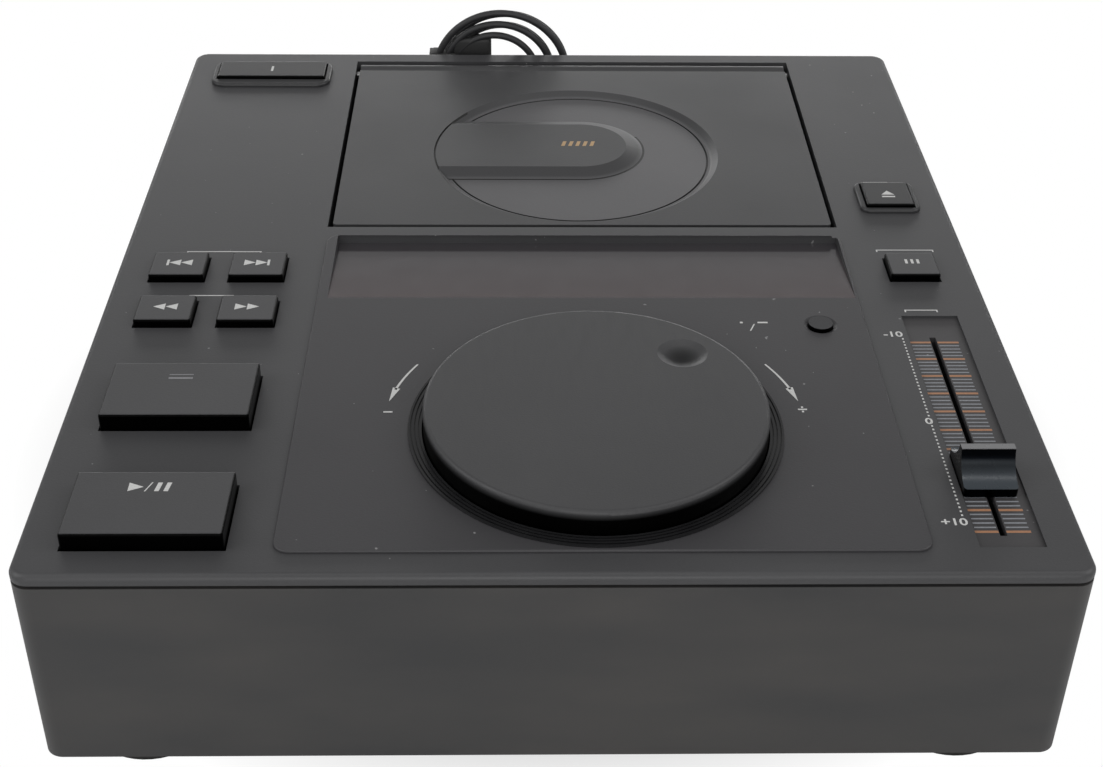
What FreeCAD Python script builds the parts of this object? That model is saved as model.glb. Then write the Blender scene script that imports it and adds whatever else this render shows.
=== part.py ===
import FreeCAD, Part
import math
import os
import re
import Sketcher

# Tabletop player for compact discs, with a top-loading lid and a large jog dial.
# Frame: X right, Y back, Z up. The origin is on the floor under the middle of the case.

# Driving sizes in millimetres
SIZES = {
    # Case: the strips and fields that make up its width, depth and height
    "left_strip": 76, "centre_width": 197, "right_strip": 47, "front_margin": 10.2,
    "centre_depth": 186.8, "panel_gap": 9.5, "lid_depth": 147.2, "back_margin": 14.3,
    "body_height": 74.5, "foot_height": 10, "wall": 2.5, "top_thick": 3, "skirt_drop": 3.4,
    "case_corner": 6, "top_edge": 2.2, "base_thick": 1.5, "seam": 1.2, "foot_radius": 22.5,
    "foot_inset": 29, "screw_radius": 3.2, "boss_radius": 4, "post_radius": 2.4,
    # Circuit boards on the base
    "board_height": 8, "board_thick": 1.6, "board_inset": 12, "main_width": 176,
    "main_depth": 136, "supply_width": 90, "supply_depth": 132, "supply_front": 118,
    "core_width": 50, "core_depth": 45, "core_height": 38, "core_inset": 49, "winding_out": 6,
    "capacitor_radius": 7, "capacitor_height": 20,
    # Rear connector panel
    "rear_margin": 34, "rear_inset": 10, "rear_low": 18, "rear_height": 40, "rear_recess": 10.5,
    "rear_sheet": 1.5, "jack_radius": 4.15, "jack_length": 8.5, "jack_inset": 42,
    "jack_pitch": 18, "jack_bore": 1.6, "jack_plate": 9, "control_inset": 76,
    "control_bore": 1.8, "jack_rise": 20,
    # Lid and its opening
    "lid_side": 1.25, "hinge_radius": 4.5, "lid_gap": 1.9, "hinge_gap": 0.3, "lid_thick": 4.5,
    "lid_corner": 1.5, "lid_skirt": 8, "lid_wall": 2, "liner_thick": 1.5, "pin_radius": 1.5,
    "pin_reach": 9, "pin_depth": 20, "pin_fit": 0.05, "bracket_thick": 5, "bracket_half_depth": 7,
    "latch_width": 8, "latch_thick": 3, "latch_drop": 11.5, "latch_reach": 1.6, "slot_gap": 0.5,
    # Raised picture of a disc in the lid
    "disc_inset": 85.2, "relief_radius": 59.5, "relief_depth": 2.2, "relief_slope": 3,
    "tongue_front_reach": 20.3, "tongue_back_reach": 32.5, "tongue_right": 2,
    "tongue_slope": 7,
    "groove_width": 0.8, "groove_depth": 0.5,
    # Disc well and the mechanism under it
    "well_wall": 1.8, "well_drop": 20, "well_thick": 2, "guide_radius": 62.5, "guide_depth": 5,
    "disc_drop": 14.5, "disc_thick": 1.2, "platter_radius": 14, "platter_thick": 2.5,
    "hub_radius": 7.45, "hub_rise": 3, "spindle_radius": 1.5, "motor_radius": 12,
    "motor_height": 10, "chassis_drop": 30.5, "chassis_thick": 1.5, "chassis_width": 110,
    "chassis_ahead": 76, "chassis_behind": 45.5, "damper_radius": 6, "damper_inset": 9,
    "clamper_radius": 15, "rod_radius": 1.5, "rod_spread": 22, "rod_drop": 25, "rod_ahead": 69,
    "rod_length": 64.5, "sled_width": 52, "sled_depth": 24, "sled_drop": 28.2, "sled_height": 6.2,
    "lens_orbit": 24, "lens_holder": 10, "lens_radius": 2.5, "sled_travel": 32,
    "window_width": 26,
    # Raised centre panel, display and jog dial
    "centre_rise": 1, "centre_corner": 5, "lens_left_inset": 4, "lens_right_inset": 1,
    "lens_back_inset": 0.5, "lens_depth": 45.2, "lens_drop": 3.5, "lens_thick": 2,
    "display_drop": 16, "tube_inset": 12, "jog_inset": 62.2, "jog_radius": 56, "jog_gap": 0.5,
    "jog_rise": 10.5, "jog_skin": 3, "ring_radius": 61, "ring_thick": 1.8, "ring_step": 1.3,
    "shaft_radius": 4, "bearing_radius": 9, "jog_bracket_drop": 18.5, "dimple_x": 30,
    "dimple_y": 28.6, "dimple_radius": 8.5, "dimple_depth": 2.5, "encoder_radius": 25,
    "bracket_half": 58,
    # Buttons
    "key_gap": 0.5, "flange": 1.5, "key_edge": 0.9, "key_spread": 14.6, "key_width": 20.2,
    "key_depth": 17, "key_rise": 3, "track_inset": 24.8, "row_pitch": 30.6, "big_width": 48.6,
    "big_depth": 30.4, "big_rise": 6, "cue_inset": 76.8, "play_inset": 17.1, "key_travel": 1.5,
    "big_travel": 2, "mode_inset": 24.5, "mode_width": 18.4, "mode_depth": 16.2,
    "time_side": 16.5, "time_ahead": 18, "time_radius": 4.3, "dish_radius": 6,
    "power_inset": 23.8, "power_width": 48, "power_depth": 16, "power_travel": 3,
    "bezel_side": 2.6, "bezel_ends": 4.6, "bezel_shift": 1.3, "bezel_rise": 1.6,
    "eject_inset": 21.1, "eject_width": 18.8, "eject_side": 2.5, "eject_travel": 2.5,
    "key_board_drop": 18.5, "switch_width": 6, "key_board_half": 30, "mode_board_half": 13,
    # Tempo slider
    "tempo_width": 20.2, "tempo_length": 128.1, "tempo_sink": 1, "slot_shift": 1.3,
    "slot_width": 2.2, "slot_inset": 6.4, "slot_length": 109, "knob_inset": 29.1,
    "knob_width": 17, "knob_depth": 22, "knob_rise": 11, "lever_thick": 1.4, "lever_width": 6,
    "fader_width": 15,
    # Power lead
    "cord_radius": 1.6, "exit_inset": 55, "exit_z": 36, "relief_length": 22, "coil_left": -50,
    "coil_right": 12, "coil_top": 103, "coil_clear": 7, "layer_step": 4.2, "left_step": 3.9,
    "right_step": 7, "plug_x": 72, "plug_length": 34, "plug_width": 17, "plug_height": 24,
}

# Places that follow from the driving sizes
PLACES = {
    "case_width": "left_strip + centre_width + right_strip",
    "case_depth": "front_margin + centre_depth + panel_gap + lid_depth + back_margin",
    "top_height": "foot_height + body_height",
    "left_keys": "left_strip / 2 - case_width / 2 - 0.2",
    "tempo_x": "case_width / 2 - right_strip / 2 + 0.4",
    "mode_x": "tempo_x - 0.3",
    "eject_x": "tempo_x",
    "slot_x": "tempo_x - slot_shift",
    "centre_left": "left_strip - case_width / 2",
    "centre_right": "case_width / 2 - right_strip",
    "centre_front": "front_margin - case_depth / 2",
    "centre_back": "centre_front + centre_depth",
    "lens_left": "centre_left + lens_left_inset",
    "lens_right": "centre_right - lens_right_inset",
    "lens_back": "centre_back - lens_back_inset",
    "lens_front": "lens_back - lens_depth",
    "jog_x": "(centre_left + centre_right) / 2 - 0.3",
    "jog_y": "centre_front + jog_inset",
    "jog_top": "top_height + jog_rise",
    "jog_bracket_z": "top_height - jog_bracket_drop",
    "time_x": "centre_right - time_side",
    "time_y": "lens_front - time_ahead",
    "lid_left": "centre_left + lid_side - 0.25",
    "lid_right": "centre_right - lid_side - 0.25",
    "lid_front": "centre_back + panel_gap",
    "hinge_y": "lid_front + lid_depth",
    "disc_x": "(lid_left + lid_right) / 2 - 0.95",
    "disc_y": "hinge_y - disc_inset",
    "tongue_front": "disc_y - tongue_front_reach",
    "tongue_back": "disc_y + tongue_back_reach",
    "well_floor": "top_height - well_drop",
    "disc_seat": "top_height - disc_drop",
    "chassis_z": "top_height - chassis_drop",
    "chassis_front": "disc_y - chassis_ahead",
    "chassis_back": "disc_y + chassis_behind",
    "rod_z": "top_height - rod_drop",
    "rod_front": "disc_y - rod_ahead",
    "rod_back": "rod_front + rod_length",
    "sled_low": "top_height - sled_drop",
    "sled_high": "sled_low + sled_height",
    "track_y": "centre_back - track_inset",
    "search_y": "track_y - row_pitch",
    "mode_y": "centre_back - mode_inset",
    "cue_y": "centre_front + cue_inset",
    "play_y": "centre_front + play_inset",
    "power_y": "case_depth / 2 - power_inset",
    "bezel_y": "power_y - bezel_shift",
    "bezel_width": "power_width + 2 * bezel_side",
    "bezel_depth": "power_depth + 2 * bezel_ends",
    "eject_y": "lid_front + eject_inset",
    "eject_bezel": "eject_width + 2 * eject_side",
    "latch_y": "eject_y + 0.4",
    "key_board_z": "top_height - key_board_drop",
    "tempo_front": "centre_front + 2.3",
    "tempo_back": "tempo_front + tempo_length",
    "slot_front": "tempo_front + slot_inset",
    "slot_back": "slot_front + slot_length",
    "knob_y": "slot_front + knob_inset",
    "rear_left": "rear_margin - case_width / 2",
    "rear_right": "case_width / 2 - rear_inset",
    "rear_high": "rear_low + rear_height",
    "jack_x": "case_width / 2 - jack_inset",
    "control_x": "case_width / 2 - control_inset",
    "jack_height": "rear_low + jack_rise",
    "exit_x": "exit_inset - case_width / 2",
    "main_left": "case_width / 2 - board_inset - main_width",
    "main_front": "2 * board_inset + 2 - case_depth / 2",
    "supply_left": "board_inset - 2 - case_width / 2",
    "supply_low": "supply_front - case_depth / 2",
    "coil_y": "case_depth / 2 + coil_clear",
}

doc = FreeCAD.newDocument("Player")
sheet = doc.addObject("Spreadsheet::Sheet", "Sizes")
for row, (alias, number) in enumerate(SIZES.items(), start=1):
    sheet.set("A%d" % row, alias)
    sheet.set("B%d" % row, str(number))
    sheet.setAlias("B%d" % row, alias)
doc.recompute()

nodes = []


def rule(text):
    """An expression with each place written out, and each size's name pointed at the sheet."""
    def written_out(match):
        word = match[0]
        if word in PLACES:
            return "(" + rule(PLACES[word]) + ")"
        return "Sizes." + word if word in SIZES else word

    return re.sub(r"[a-z_]+", written_out, str(text))


# One object per place works out its present value for the shapes that are made in code
measure = doc.addObject("App::FeaturePython", "Measure")
for word in list(SIZES) + list(PLACES):
    measure.addProperty("App::PropertyFloat", word)
    measure.setExpression(word, rule(word))
doc.recompute()


def size(word):
    """The present value of one size or place."""
    return getattr(measure, word)


def place(item, x, y, z):
    for axis, text in zip("xyz", (x, y, z)):
        item.setExpression("Placement.Base." + axis, rule(text))


def node(item, label):
    """Make an object a sub-part that is written under this name."""
    item.Label = label
    nodes.append(item)
    return item


def block(name, x, y, z):
    """A plain block between the low and high values of each axis."""
    item = doc.addObject("Part::Box", name)
    for side, (low, high) in zip(("Length", "Width", "Height"), (x, y, z)):
        item.setExpression(side, rule("(%s) - (%s)" % (high, low)))
    place(item, x[0], y[0], z[0])
    return item


def rod(name, x, y, z, radius, top_radius=None):
    """A cylinder or cone along the one axis that is given as a low and a high value."""
    spans = [value if isinstance(value, tuple) else (value,) for value in (x, y, z)]
    kind = "Part::Cylinder" if top_radius is None else "Part::Cone"
    item = doc.addObject(kind, name)
    if top_radius is None:
        item.setExpression("Radius", rule(radius))
    else:
        item.setExpression("Radius1", rule(radius))
        item.setExpression("Radius2", rule(top_radius))
    turns = {0: ((0, 1, 0), 90), 1: ((-1, 0, 0), 90), 2: ((0, 0, 1), 0)}
    along = [index for index, span in enumerate(spans) if len(span) == 2][0]
    low, high = spans[along]
    item.setExpression("Height", rule("(%s) - (%s)" % (high, low)))
    axis, angle = turns[along]
    item.Placement.Rotation = FreeCAD.Rotation(FreeCAD.Vector(*axis), angle)
    place(item, *[span[0] for span in spans])
    return item


def cut(name, base, tools):
    tool = tools[0]
    if len(tools) > 1:
        tool = doc.addObject("Part::MultiFuse", name + "_tools")
        tool.Shapes = tools
    item = doc.addObject("Part::Cut", name)
    item.Base = base
    item.Tool = tool
    return item


def fuse(name, parts):
    item = doc.addObject("Part::MultiFuse", name)
    item.Shapes = parts
    return item


def origin_plane(body, role):
    return [item for item in body.Origin.OriginFeatures if item.Role == role][0]


def rectangle(body, name, width, depth):
    """A sketched rectangle from the body's own origin, bound to two sizes."""
    sketch = body.newObject("Sketcher::SketchObject", name)
    sketch.AttachmentSupport = [(origin_plane(body, "XY_Plane"), "")]
    sketch.MapMode = "FlatFace"
    corners = [(0, 0), (10, 0), (10, 10), (0, 10)]
    for first, last in zip(corners, corners[1:] + corners[:1]):
        sketch.addGeometry(Part.LineSegment(FreeCAD.Vector(*first), FreeCAD.Vector(*last)))
    for side in range(4):
        sketch.addConstraint(Sketcher.Constraint("Coincident", side, 2, (side + 1) % 4, 1))
    sketch.addConstraint(Sketcher.Constraint("Horizontal", 0))
    sketch.addConstraint(Sketcher.Constraint("Horizontal", 2))
    sketch.addConstraint(Sketcher.Constraint("Vertical", 1))
    sketch.addConstraint(Sketcher.Constraint("Vertical", 3))
    sketch.addConstraint(Sketcher.Constraint("Coincident", 0, 1, -1, 1))
    for kind, side, text in (("DistanceX", 0, width), ("DistanceY", 1, depth)):
        number = sketch.addConstraint(Sketcher.Constraint(kind, side, 1, side, 2, 10.0))
        sketch.renameConstraint(number, "side_" + kind[-1].lower())
        sketch.setExpression("Constraints.side_" + kind[-1].lower(), rule(text))
    return sketch


def rounded(name, x, y, z, corner, edge=None):
    """A padded block with rounded upright corners and, where given, a rounded top edge."""
    body = doc.addObject("PartDesign::Body", name)
    width = "(%s) - (%s)" % (x[1], x[0])
    depth = "(%s) - (%s)" % (y[1], y[0])
    pad = body.newObject("PartDesign::Pad", name + "_pad")
    body.removeObject(pad)
    sketch = rectangle(body, name + "_outline", width, depth)
    body.addObject(pad)
    pad.Profile = sketch
    sketch.Visibility = False
    pad.setExpression("Length", rule("(%s) - (%s)" % (z[1], z[0])))
    doc.recompute()
    upright = ["Edge%d" % number for number, item in enumerate(pad.Shape.Edges, start=1)
               if abs(item.Vertexes[0].Z - item.Vertexes[-1].Z) > 0.01]
    corners = body.newObject("PartDesign::Fillet", name + "_corners")
    corners.Base = (pad, upright)
    corners.setExpression("Radius", rule(corner))
    doc.recompute()
    if edge is not None:
        top = corners.Shape.BoundBox.ZMax
        loop = ["Edge%d" % number for number, item in enumerate(corners.Shape.Edges, start=1)
                if item.BoundBox.ZMin > top - 0.01]
        rim = body.newObject("PartDesign::Fillet", name + "_rim")
        rim.Base = (corners, loop[:1])
        rim.setExpression("Radius", rule(edge))
    place(body, x[0], y[0], z[0])
    doc.recompute()
    return body


def solid(name, shape, x="0", y="0", z="0"):
    """A shape from plain geometry functions, with its place bound to the sheet."""
    item = doc.addObject("Part::Feature", name)
    item.Shape = shape
    place(item, x, y, z)
    return item


def case_pieces():
    """Walls, base sheet, rounded feet and their screws."""
    half_x = "case_width / 2"
    half_y = "case_depth / 2"
    low = "foot_height"
    high = "top_height - skirt_drop"
    outside = rounded("walls_outside", ("-" + half_x, half_x), ("-" + half_y, half_y), (low, high),
                      "case_corner")
    inside = block("walls_inside", (half_x + " * -1 + wall", half_x + " - wall"),
                   (half_y + " * -1 + wall", half_y + " - wall"), (low + " - 1", high + " + 1"))
    window = block("walls_window", ("rear_left + rear_sheet", "rear_right - rear_sheet"),
                   (half_y + " - wall - 1", half_y + " + 1"),
                   ("rear_low + rear_sheet", "rear_high - rear_sheet"))
    seam_outside = block("seam_outside", ("-" + half_x + " - 1", half_x + " + 1"),
                         ("-" + half_y + " - 1", half_y + " + 1"), (high + " - seam", high + " + 1"))
    seam_inside = rounded("seam_inside", ("-" + half_x + " + seam", half_x + " - seam"),
                          ("-" + half_y + " + seam", half_y + " - seam"),
                          (high + " - seam - 1", high + " + 2"), "case_corner - seam")
    seam_cut = cut("seam_cut", seam_outside, [seam_inside])
    node(cut("walls", outside, [fuse("walls_tools", [inside, window]), seam_cut]), "case_walls")

    sheet_block = block("base_sheet", (half_x + " * -1 + wall", half_x + " - wall"),
                        (half_y + " * -1 + wall", half_y + " - wall"), (low, low + " + base_thick"))
    bosses = []
    for index, (x, y) in enumerate(BOARD_POSTS):
        bosses.append(rod("base_post_%d" % index, x, y, (low, low + " + base_thick + board_height"),
                          "boss_radius - 1"))
    for index, (x, y) in enumerate(CHASSIS_POSTS):
        bosses.append(rod("chassis_post_%d" % index, x, y, (low, "chassis_z - damper_radius"),
                          "damper_radius"))
    node(fuse("base", [sheet_block] + bosses), "base_plate")

    feet = []
    screws = []
    for side_x in (-1, 1):
        for side_y in (-1, 1):
            name = "%s_%s" % ("right" if side_x > 0 else "left", "back" if side_y > 0 else "front")
            x = "%d * (case_width / 2 - foot_inset)" % side_x
            y = "%d * (case_depth / 2 - foot_inset)" % side_y
            shape = rod("foot_cone_" + name, x, y, ("0", low), "foot_radius - 1.5", "foot_radius")
            well = rod("foot_well_" + name, x, y, ("-1", "foot_height / 2"), "screw_radius + 1")
            feet.append(cut("foot_" + name, shape, [well]))
            screws.append(rod("foot_screw_" + name, x, y,
                              ("foot_height / 2 - 2", "foot_height / 2"), "screw_radius"))
    node(fuse("feet_group", feet), "feet")
    node(fuse("screw_group", screws), "foot_screws")


BOARD_POSTS = [("main_left + 8", "main_front + 8"), ("main_left + main_width - 8", "main_front + 8"),
               ("main_left + 8", "main_front + main_depth - 8"),
               ("main_left + main_width - 8", "main_front + main_depth - 8"),
               ("supply_left + 6", "supply_low + 6"), ("supply_left + supply_width - 6", "supply_low + 6"),
               ("supply_left + 6", "supply_low + supply_depth - 6"),
               ("supply_left + supply_width - 6", "supply_low + supply_depth - 6")]
CHASSIS_POSTS = [("disc_x + %d * (chassis_width / 2 - damper_inset)" % side, y)
                 for side in (-1, 1)
                 for y in ("chassis_front + damper_inset", "chassis_back - damper_inset")]


def rear_pieces():
    """A recessed sheet with the sockets, and the lead's strain relief."""
    back = "case_depth / 2 - wall"
    face = "case_depth / 2 - rear_recess"
    shell = block("rear_shell", ("rear_left", "rear_right"), (face + " - rear_sheet", back),
                  ("rear_low", "rear_high"))
    hollow = block("rear_hollow", ("rear_left + rear_sheet", "rear_right - rear_sheet"),
                   (face, back + " + 1"), ("rear_low + rear_sheet", "rear_high - rear_sheet"))
    bore = rod("rear_control_bore", "control_x", (face + " - 5", back), "jack_height", "control_bore")
    node(cut("rear", shell, [hollow, bore]), "rear_panel")

    jacks = []
    for index in range(2):
        x = "jack_x + jack_pitch * %d" % index
        barrel = rod("jack_%d" % index, x, (face, face + " + jack_length"), "jack_height",
                     "jack_radius")
        hole = rod("jack_hole_%d" % index, x, (face + " + 1", face + " + jack_length + 1"),
                   "jack_height", "jack_bore")
        jacks.append(cut("jack_cut_%d" % index, barrel, [hole]))
    plate = block("jack_plate", ("jack_x - jack_plate", "jack_x + jack_pitch + jack_plate"),
                  (face, face + " + 1"), ("jack_height - jack_plate", "jack_height + jack_plate"))
    node(fuse("jacks", jacks + [plate]), "audio_jacks")

    collar = rod("relief_collar", "exit_x", (face, face + " + 2"), "exit_z", "6")
    sleeve = rod("relief_sleeve", "exit_x", (face + " + 2", face + " + relief_length"), "exit_z",
                 "4.4", "2.6")
    node(fuse("relief", [collar, sleeve]), "strain_relief")


def lid_span():
    """Low and high values of the lid's opening."""
    return (("lid_left - lid_gap", "lid_right + lid_gap"),
            ("lid_front - lid_gap", "hinge_y + hinge_radius + hinge_gap"))


def key_hole(name, x, y, width, depth, low="top_height - 20", high="top_height + 20"):
    return block(name, ("%s - (%s) / 2 - key_gap" % (x, width), "%s + (%s) / 2 + key_gap" % (x, width)),
                 ("%s - (%s) / 2 - key_gap" % (y, depth), "%s + (%s) / 2 + key_gap" % (y, depth)),
                 (low, high))


KEYS = {
    "track_back": ("left_keys - key_spread", "track_y", "key_width", "key_depth", "key_rise", "key_travel"),
    "track_next": ("left_keys + key_spread", "track_y", "key_width", "key_depth", "key_rise", "key_travel"),
    "search_back": ("left_keys - key_spread", "search_y", "key_width", "key_depth", "key_rise",
                    "key_travel"),
    "search_forward": ("left_keys + key_spread", "search_y", "key_width", "key_depth", "key_rise",
                       "key_travel"),
    "cue": ("left_keys", "cue_y", "big_width", "big_depth", "big_rise", "big_travel"),
    "play": ("left_keys", "play_y", "big_width", "big_depth", "big_rise", "big_travel"),
    "tempo_mode": ("mode_x", "mode_y", "mode_width", "mode_depth", "key_rise", "key_travel"),
    "power": ("left_keys", "power_y", "power_width", "power_depth", "bezel_rise + 1.2",
              "power_travel"),
    "eject": ("eject_x", "eject_y", "eject_width", "eject_width", "bezel_rise + 1.2",
              "eject_travel"),
}


def top_pieces():
    """The top panel with its openings, and the raised centre panel on it."""
    half_x = "case_width / 2"
    half_y = "case_depth / 2"
    under = "top_height - top_thick"
    outside = rounded("top_outside", ("-" + half_x, half_x), ("-" + half_y, half_y),
                      ("top_height - skirt_drop", "top_height"), "case_corner", "top_edge")
    inside = block("top_inside", (half_x + " * -1 + wall", half_x + " - wall"),
                   (half_y + " * -1 + wall", half_y + " - wall"),
                   ("top_height - skirt_drop - 1", under))
    shell = cut("top_shell", outside, [inside])
    lid_x, lid_y = lid_span()
    tools = [block("top_lid_opening", lid_x, lid_y, ("top_height - 20", "top_height + 5"))]
    for name, (x, y, width, depth, rise, travel) in KEYS.items():
        tools.append(key_hole("top_hole_" + name, x, y, width, depth))
    tools.append(block("top_display", ("lens_left", "lens_right"), ("lens_front", "lens_back"),
                       ("top_height - 20", "top_height + 5")))
    tools.append(rod("top_jog", "jog_x", "jog_y", ("top_height - 20", "top_height + 5"),
                     "jog_radius + jog_gap + 0.5"))
    tools.append(rod("top_time", "time_x", "time_y", ("top_height - 20", "top_height + 5"),
                     "time_radius + 0.3"))
    tools.append(block("top_tempo", ("tempo_x - tempo_width / 2", "tempo_x + tempo_width / 2"),
                       ("tempo_front", "tempo_back"), ("top_height - 20", "top_height + 5")))
    panel = cut("top_cut", shell, tools)
    posts = []
    for index, (x, y) in enumerate(KEY_POSTS):
        posts.append(rod("key_post_%d" % index, x, y, ("key_board_z + board_thick", under),
                         "post_radius"))
    for side in ("lens_left + 6", "lens_right - 6"):
        posts.append(rod("display_post", side, "lens_front - post_radius - 0.5",
                         ("top_height - display_drop + board_thick", under), "post_radius"))
    node(fuse("top", [panel] + posts), "top_panel")

    plate = rounded("centre_plate", ("centre_left", "centre_right"), ("centre_front", "centre_back"),
                    ("top_height", "top_height + centre_rise"), "centre_corner", "0.6")
    window = block("centre_window", ("lens_left", "lens_right"), ("lens_front", "lens_back"),
                   ("top_height - 2", "top_height + 5"))
    dial = rod("centre_dial", "jog_x", "jog_y", ("top_height - 2", "top_height + 5"), "ring_radius")
    hole = rod("centre_time", "time_x", "time_y", ("top_height - 2", "top_height + 5"),
               "time_radius + 0.3")
    dish = rod("centre_dish", "time_x", "time_y",
               ("top_height + 0.3", "top_height + centre_rise + 0.001"), "time_radius + 0.3",
               "dish_radius")
    node(cut("centre", plate, [window, dial, fuse("centre_time_tool", [hole, dish])]),
         "control_panel")

    front = size("top_height") + size("centre_rise")
    back = front - size("lens_drop")
    thick = size("lens_thick")
    depth = size("lens_back") - size("lens_front")
    outline = Part.makePolygon([FreeCAD.Vector(0, 0, front), FreeCAD.Vector(0, depth, back),
                                FreeCAD.Vector(0, depth, back - thick),
                                FreeCAD.Vector(0, 0, front - thick), FreeCAD.Vector(0, 0, front)])
    lens = Part.Face(outline).extrude(FreeCAD.Vector(size("lens_right") - size("lens_left"), 0, 0))
    node(solid("lens", lens, "lens_left", "lens_front"), "display_lens")
    node(block("display_circuit", ("lens_left", "lens_right"), ("lens_front - 6", "lens_back + 4"),
               ("top_height - display_drop", "top_height - display_drop + board_thick")), "display_board")
    glass = block("tube_glass", ("lens_left + tube_inset", "lens_right - tube_inset"),
                  ("lens_front + 6", "lens_back - 6"),
                  ("top_height - display_drop + board_thick", "top_height - 6"))
    node(glass, "display_tube")


KEY_POSTS = [("left_keys", "track_y"), ("left_keys", "search_y"), ("left_keys", "cue_y + 29"),
             ("left_keys", "cue_y - 29.8"), ("mode_x", "mode_y + 15"), ("mode_x", "mode_y - 15")]


def jog_pieces():
    """Grooved ring, turning dial on its shaft, and the bracket with the bearing."""
    low = "top_height"
    high = "top_height + ring_thick"
    ring = rod("ring_disc", "jog_x", "jog_y", (low, high), "ring_radius")
    bore = rod("ring_bore", "jog_x", "jog_y", (low + " - 1", high + " + 1"), "jog_radius + jog_gap")
    tools = [bore]
    for index in range(3):
        outer = rod("ring_groove_%d" % index, "jog_x", "jog_y", (high + " - 0.6", high + " + 1"),
                    "ring_radius - 0.7 - %g" % (index * size("ring_step")))
        inner = rod("ring_land_%d" % index, "jog_x", "jog_y", (high + " - 0.8", high + " + 1.2"),
                    "ring_radius - 1.2 - %g" % (index * size("ring_step")))
        tools.append(cut("ring_line_%d" % index, outer, [inner]))
    node(cut("ring", ring, tools), "jog_ring")

    # Turned dial: a cup with its rim down, a hub, and a finger dimple over a small pad
    edge = 1.4
    radius = size("jog_radius")
    top = size("jog_top")
    low_z = size("top_height") - 1.5
    skin = size("jog_skin")
    shaft = size("shaft_radius")
    hub = shaft + 4
    hub_z = size("top_height") - 4.5
    points = [(shaft, hub_z), (hub, hub_z), (hub, top - skin), (radius - skin, top - skin),
              (radius - skin, low_z), (radius, low_z), (radius, top - edge)]
    line = [Part.LineSegment(FreeCAD.Vector(a[0], 0, a[1]), FreeCAD.Vector(b[0], 0, b[1])).toShape()
            for a, b in zip(points, points[1:])]
    middle = FreeCAD.Vector(radius - edge * (1 - math.sqrt(0.5)), 0, top - edge * (1 - math.sqrt(0.5)))
    line.append(Part.Arc(FreeCAD.Vector(radius, 0, top - edge), middle,
                         FreeCAD.Vector(radius - edge, 0, top)).toShape())
    line.append(Part.LineSegment(FreeCAD.Vector(radius - edge, 0, top),
                                 FreeCAD.Vector(shaft, 0, top - 0)).toShape())
    line.append(Part.LineSegment(FreeCAD.Vector(shaft, 0, top),
                                 FreeCAD.Vector(shaft, 0, hub_z)).toShape())
    turned = Part.Face(Part.Wire(line)).revolve(FreeCAD.Vector(), FreeCAD.Vector(0, 0, 1), 360)
    cup = solid("dial_cup", turned, "jog_x", "jog_y")
    pad = rod("dial_pad", "jog_x + dimple_x", "jog_y + dimple_y",
              ("jog_top - jog_skin - dimple_depth", "jog_top - jog_skin"), "dimple_radius + 1")
    cap = rod("dial_cap", "jog_x", "jog_y", ("jog_top - jog_skin", "jog_top"), "shaft_radius")
    ball = doc.addObject("Part::Sphere", "dial_ball")
    curve = "((dimple_radius * dimple_radius + dimple_depth * dimple_depth) / (2 * dimple_depth))"
    ball.setExpression("Radius", rule(curve))
    place(ball, "jog_x + dimple_x", "jog_y + dimple_y", "jog_top - dimple_depth + " + curve)
    node(cut("dial", fuse("dial_body", [cup, pad, cap]), [ball]), "jog_dial")
    node(rod("dial_shaft", "jog_x", "jog_y", ("jog_bracket_z - 2", "jog_top - jog_skin"),
             "shaft_radius"), "jog_shaft")
    disc = rod("encoder_blank", "jog_x", "jog_y", ("top_height - 5.3", "top_height - 4.5"),
               "encoder_radius")
    eye = rod("encoder_eye", "jog_x", "jog_y", ("top_height - 6", "top_height - 4"), "shaft_radius")
    slots = []
    for index in range(24):
        turn = math.radians(index * 15)
        slots.append(rod("encoder_slot_%d" % index,
                         "jog_x + (encoder_radius - 2.5) * %.6f" % math.cos(turn),
                         "jog_y + (encoder_radius - 2.5) * %.6f" % math.sin(turn),
                         ("top_height - 6", "top_height - 4"), "1"))
    node(cut("encoder", disc, [eye] + slots), "encoder_disc")

    under = "top_height - top_thick"
    sheet_block = block("bracket_sheet", ("jog_x - bracket_half", "jog_x + bracket_half"),
                        ("jog_y - bracket_half", "jog_y + bracket_half"),
                        ("jog_bracket_z", "jog_bracket_z + 2"))
    parts = [sheet_block, rod("bracket_boss", "jog_x", "jog_y",
                              ("jog_bracket_z", "top_height - 7"), "bearing_radius")]
    for index, (side_x, side_y) in enumerate(((-1, -1), (-1, 1), (1, -1), (1, 1))):
        parts.append(rod("bracket_post_%d" % index, "jog_x + %d * (bracket_half - 6)" % side_x,
                         "jog_y + %d * (bracket_half - 6)" % side_y, ("jog_bracket_z", under),
                         "boss_radius"))
    bearing = rod("bracket_bore", "jog_x", "jog_y", ("jog_bracket_z - 1", "top_height"),
                  "shaft_radius + pin_fit")
    node(cut("bracket", fuse("bracket_body", parts), [bearing]), "jog_bracket")


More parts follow.
